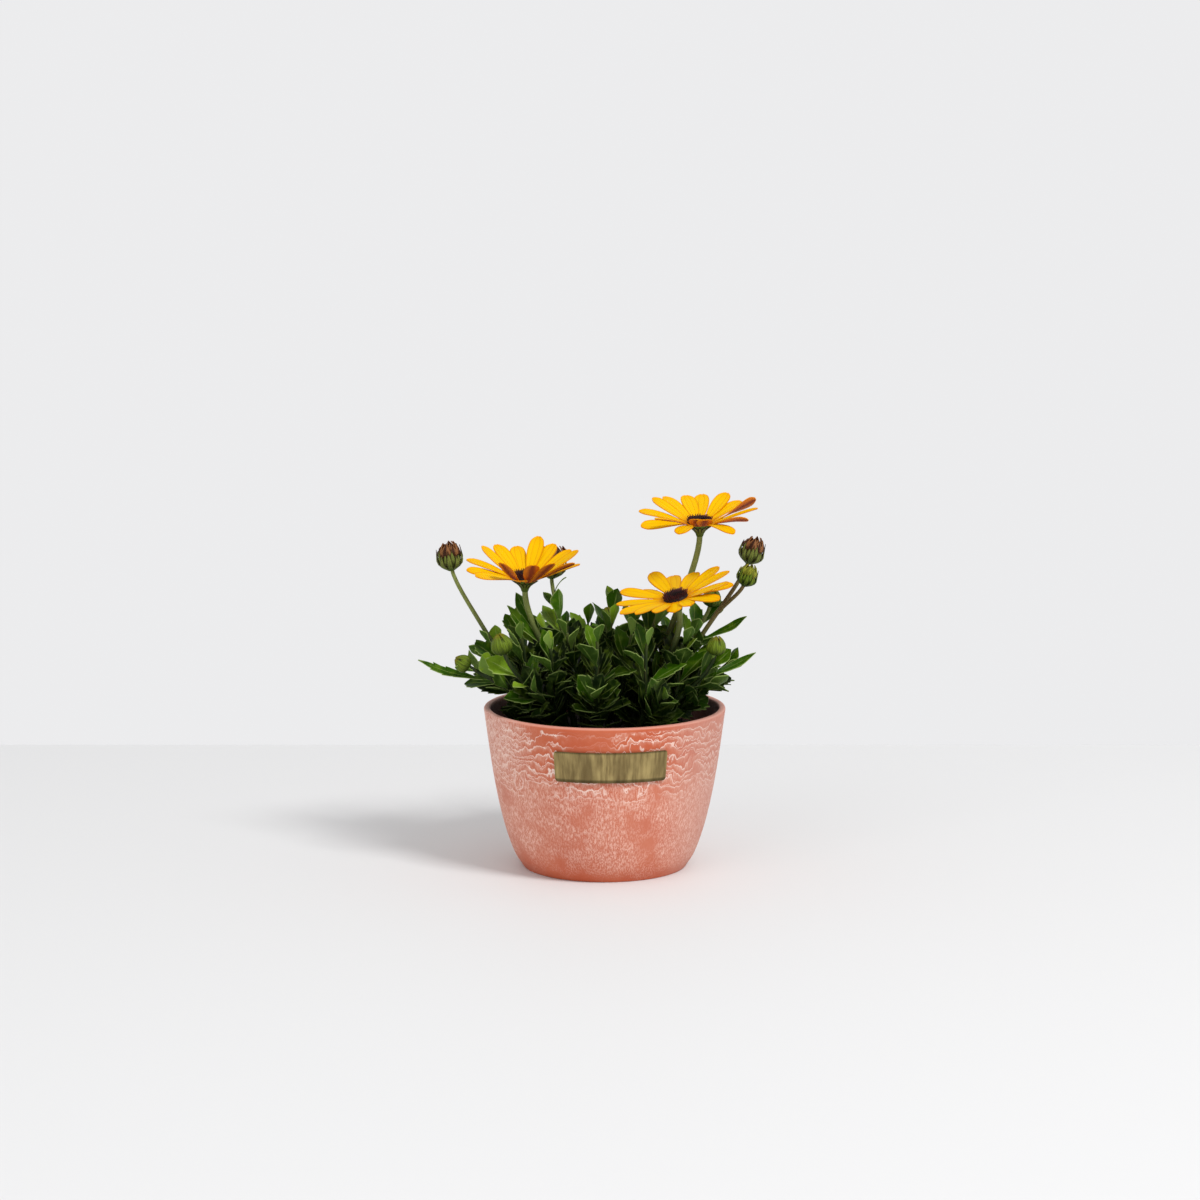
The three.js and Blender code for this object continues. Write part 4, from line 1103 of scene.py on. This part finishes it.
build = Build()
wall = [(45, 6.5), (56.2, 22), (67.2, 82.6)]
rings = [(radius, SOIL_TOP) for radius in range(65, 0, -4)]
for vert in build.turned([(0, 6.5), *wall, *rings, (0, SOIL_TOP)], 64, "soil"):
    if vert.co.z > 80:
        vert.co.z += 2.2 * noise.noise(vert.co / 9) + 1.2 * noise.noise(vert.co / 3.5)
draw = seeded(77)
for _ in range(CRUMBS):
    reach, angle = SOIL_REACH * math.sqrt(draw()), 2 * math.pi * draw()
    size = between(0.8, 2.6, draw() ** 2)
    spot = Vector((reach * math.cos(angle), reach * math.sin(angle), SOIL_TOP + 0.4))
    turn = Matrix.Rotation(6 * draw(), 4, Vector((draw(), draw(), draw())).normalized())
    stretch = Matrix.Diagonal((size, size * between(0.4, 1, draw()), size * between(0.3, 0.6, draw()), 1))
    crumb = bmesh.ops.create_icosphere(
        build.mesh, subdivisions=1, radius=1, matrix=Matrix.Translation(spot) @ turn @ stretch,
    )["verts"]
    build.paint({face for vert in crumb for face in vert.link_faces}, "soil", smooth=False)
build.finish("soil_look", "soil", slot="soil")


# Floor, light and camera

# Metres from here on.
FLOOR_WIDTH = 3
FLOOR_DEPTH = 2
FLOOR_BACK = 0.37
LIT_HEIGHT = 0.12
CAMERA_PLACE = (-0.0029, -1.88554, 0.4584)
CAMERA_TILT = 8.8
CAMERA_LENS = 92.6
CAMERA_SENSOR = 36

bpy.context.scene.view_settings.view_transform = "Standard"

shader = Shader("floor", 0.7)
shader.set("Base Color", (0.73, 0.73, 0.73, 1))
bpy.ops.mesh.primitive_plane_add(size=1)
floor = bpy.context.object
floor.name = "floor"
floor.scale = (FLOOR_WIDTH, FLOOR_DEPTH, 1)
floor.location = (0, FLOOR_BACK - FLOOR_DEPTH / 2, 0)
floor.data.materials.append(shader.material)


def area_light(name, direction, distance, size, power):
    light = bpy.data.objects.new(name, bpy.data.lights.new(name, "AREA"))
    bpy.context.scene.collection.objects.link(light)
    away = Vector(direction).normalized()
    light.location = Vector((0, 0, LIT_HEIGHT)) + away * distance
    light.rotation_euler = away.to_track_quat("Z", "Y").to_euler()
    light.data.size = size
    light.data.energy = power


area_light("key", (0.6, -0.62, 1), 4.5, 1.1, 131)
area_light("fill", (-0.7, -1, 0.9), 4.5, 2.4, 20)

# The surroundings are bright along the horizon and dimmer overhead.
world = bpy.data.worlds.new("studio")
world.use_nodes = True
nodes, links = world.node_tree.nodes, world.node_tree.links
nodes["Background"].inputs["Color"].default_value = (0.84, 0.84, 0.85, 1)
direction = nodes.new("ShaderNodeTexCoord")
height = nodes.new("ShaderNodeSeparateXYZ")
dimmer = nodes.new("ShaderNodeMapRange")
for name, value in {"From Min": 0.2, "From Max": 0.7, "To Min": 1, "To Max": 0.72}.items():
    dimmer.inputs[name].default_value = value
links.new(direction.outputs["Generated"], height.inputs[0])
links.new(height.outputs["Z"], dimmer.inputs["Value"])
links.new(dimmer.outputs["Result"], nodes["Background"].inputs["Strength"])
bpy.context.scene.world = world

camera = bpy.data.objects.new("camera", bpy.data.cameras.new("camera"))
bpy.context.scene.collection.objects.link(camera)
camera.location = CAMERA_PLACE
camera.rotation_euler = (math.radians(90 - CAMERA_TILT), 0, 0)
camera.data.lens = CAMERA_LENS
camera.data.sensor_width = CAMERA_SENSOR
bpy.context.scene.camera = camera
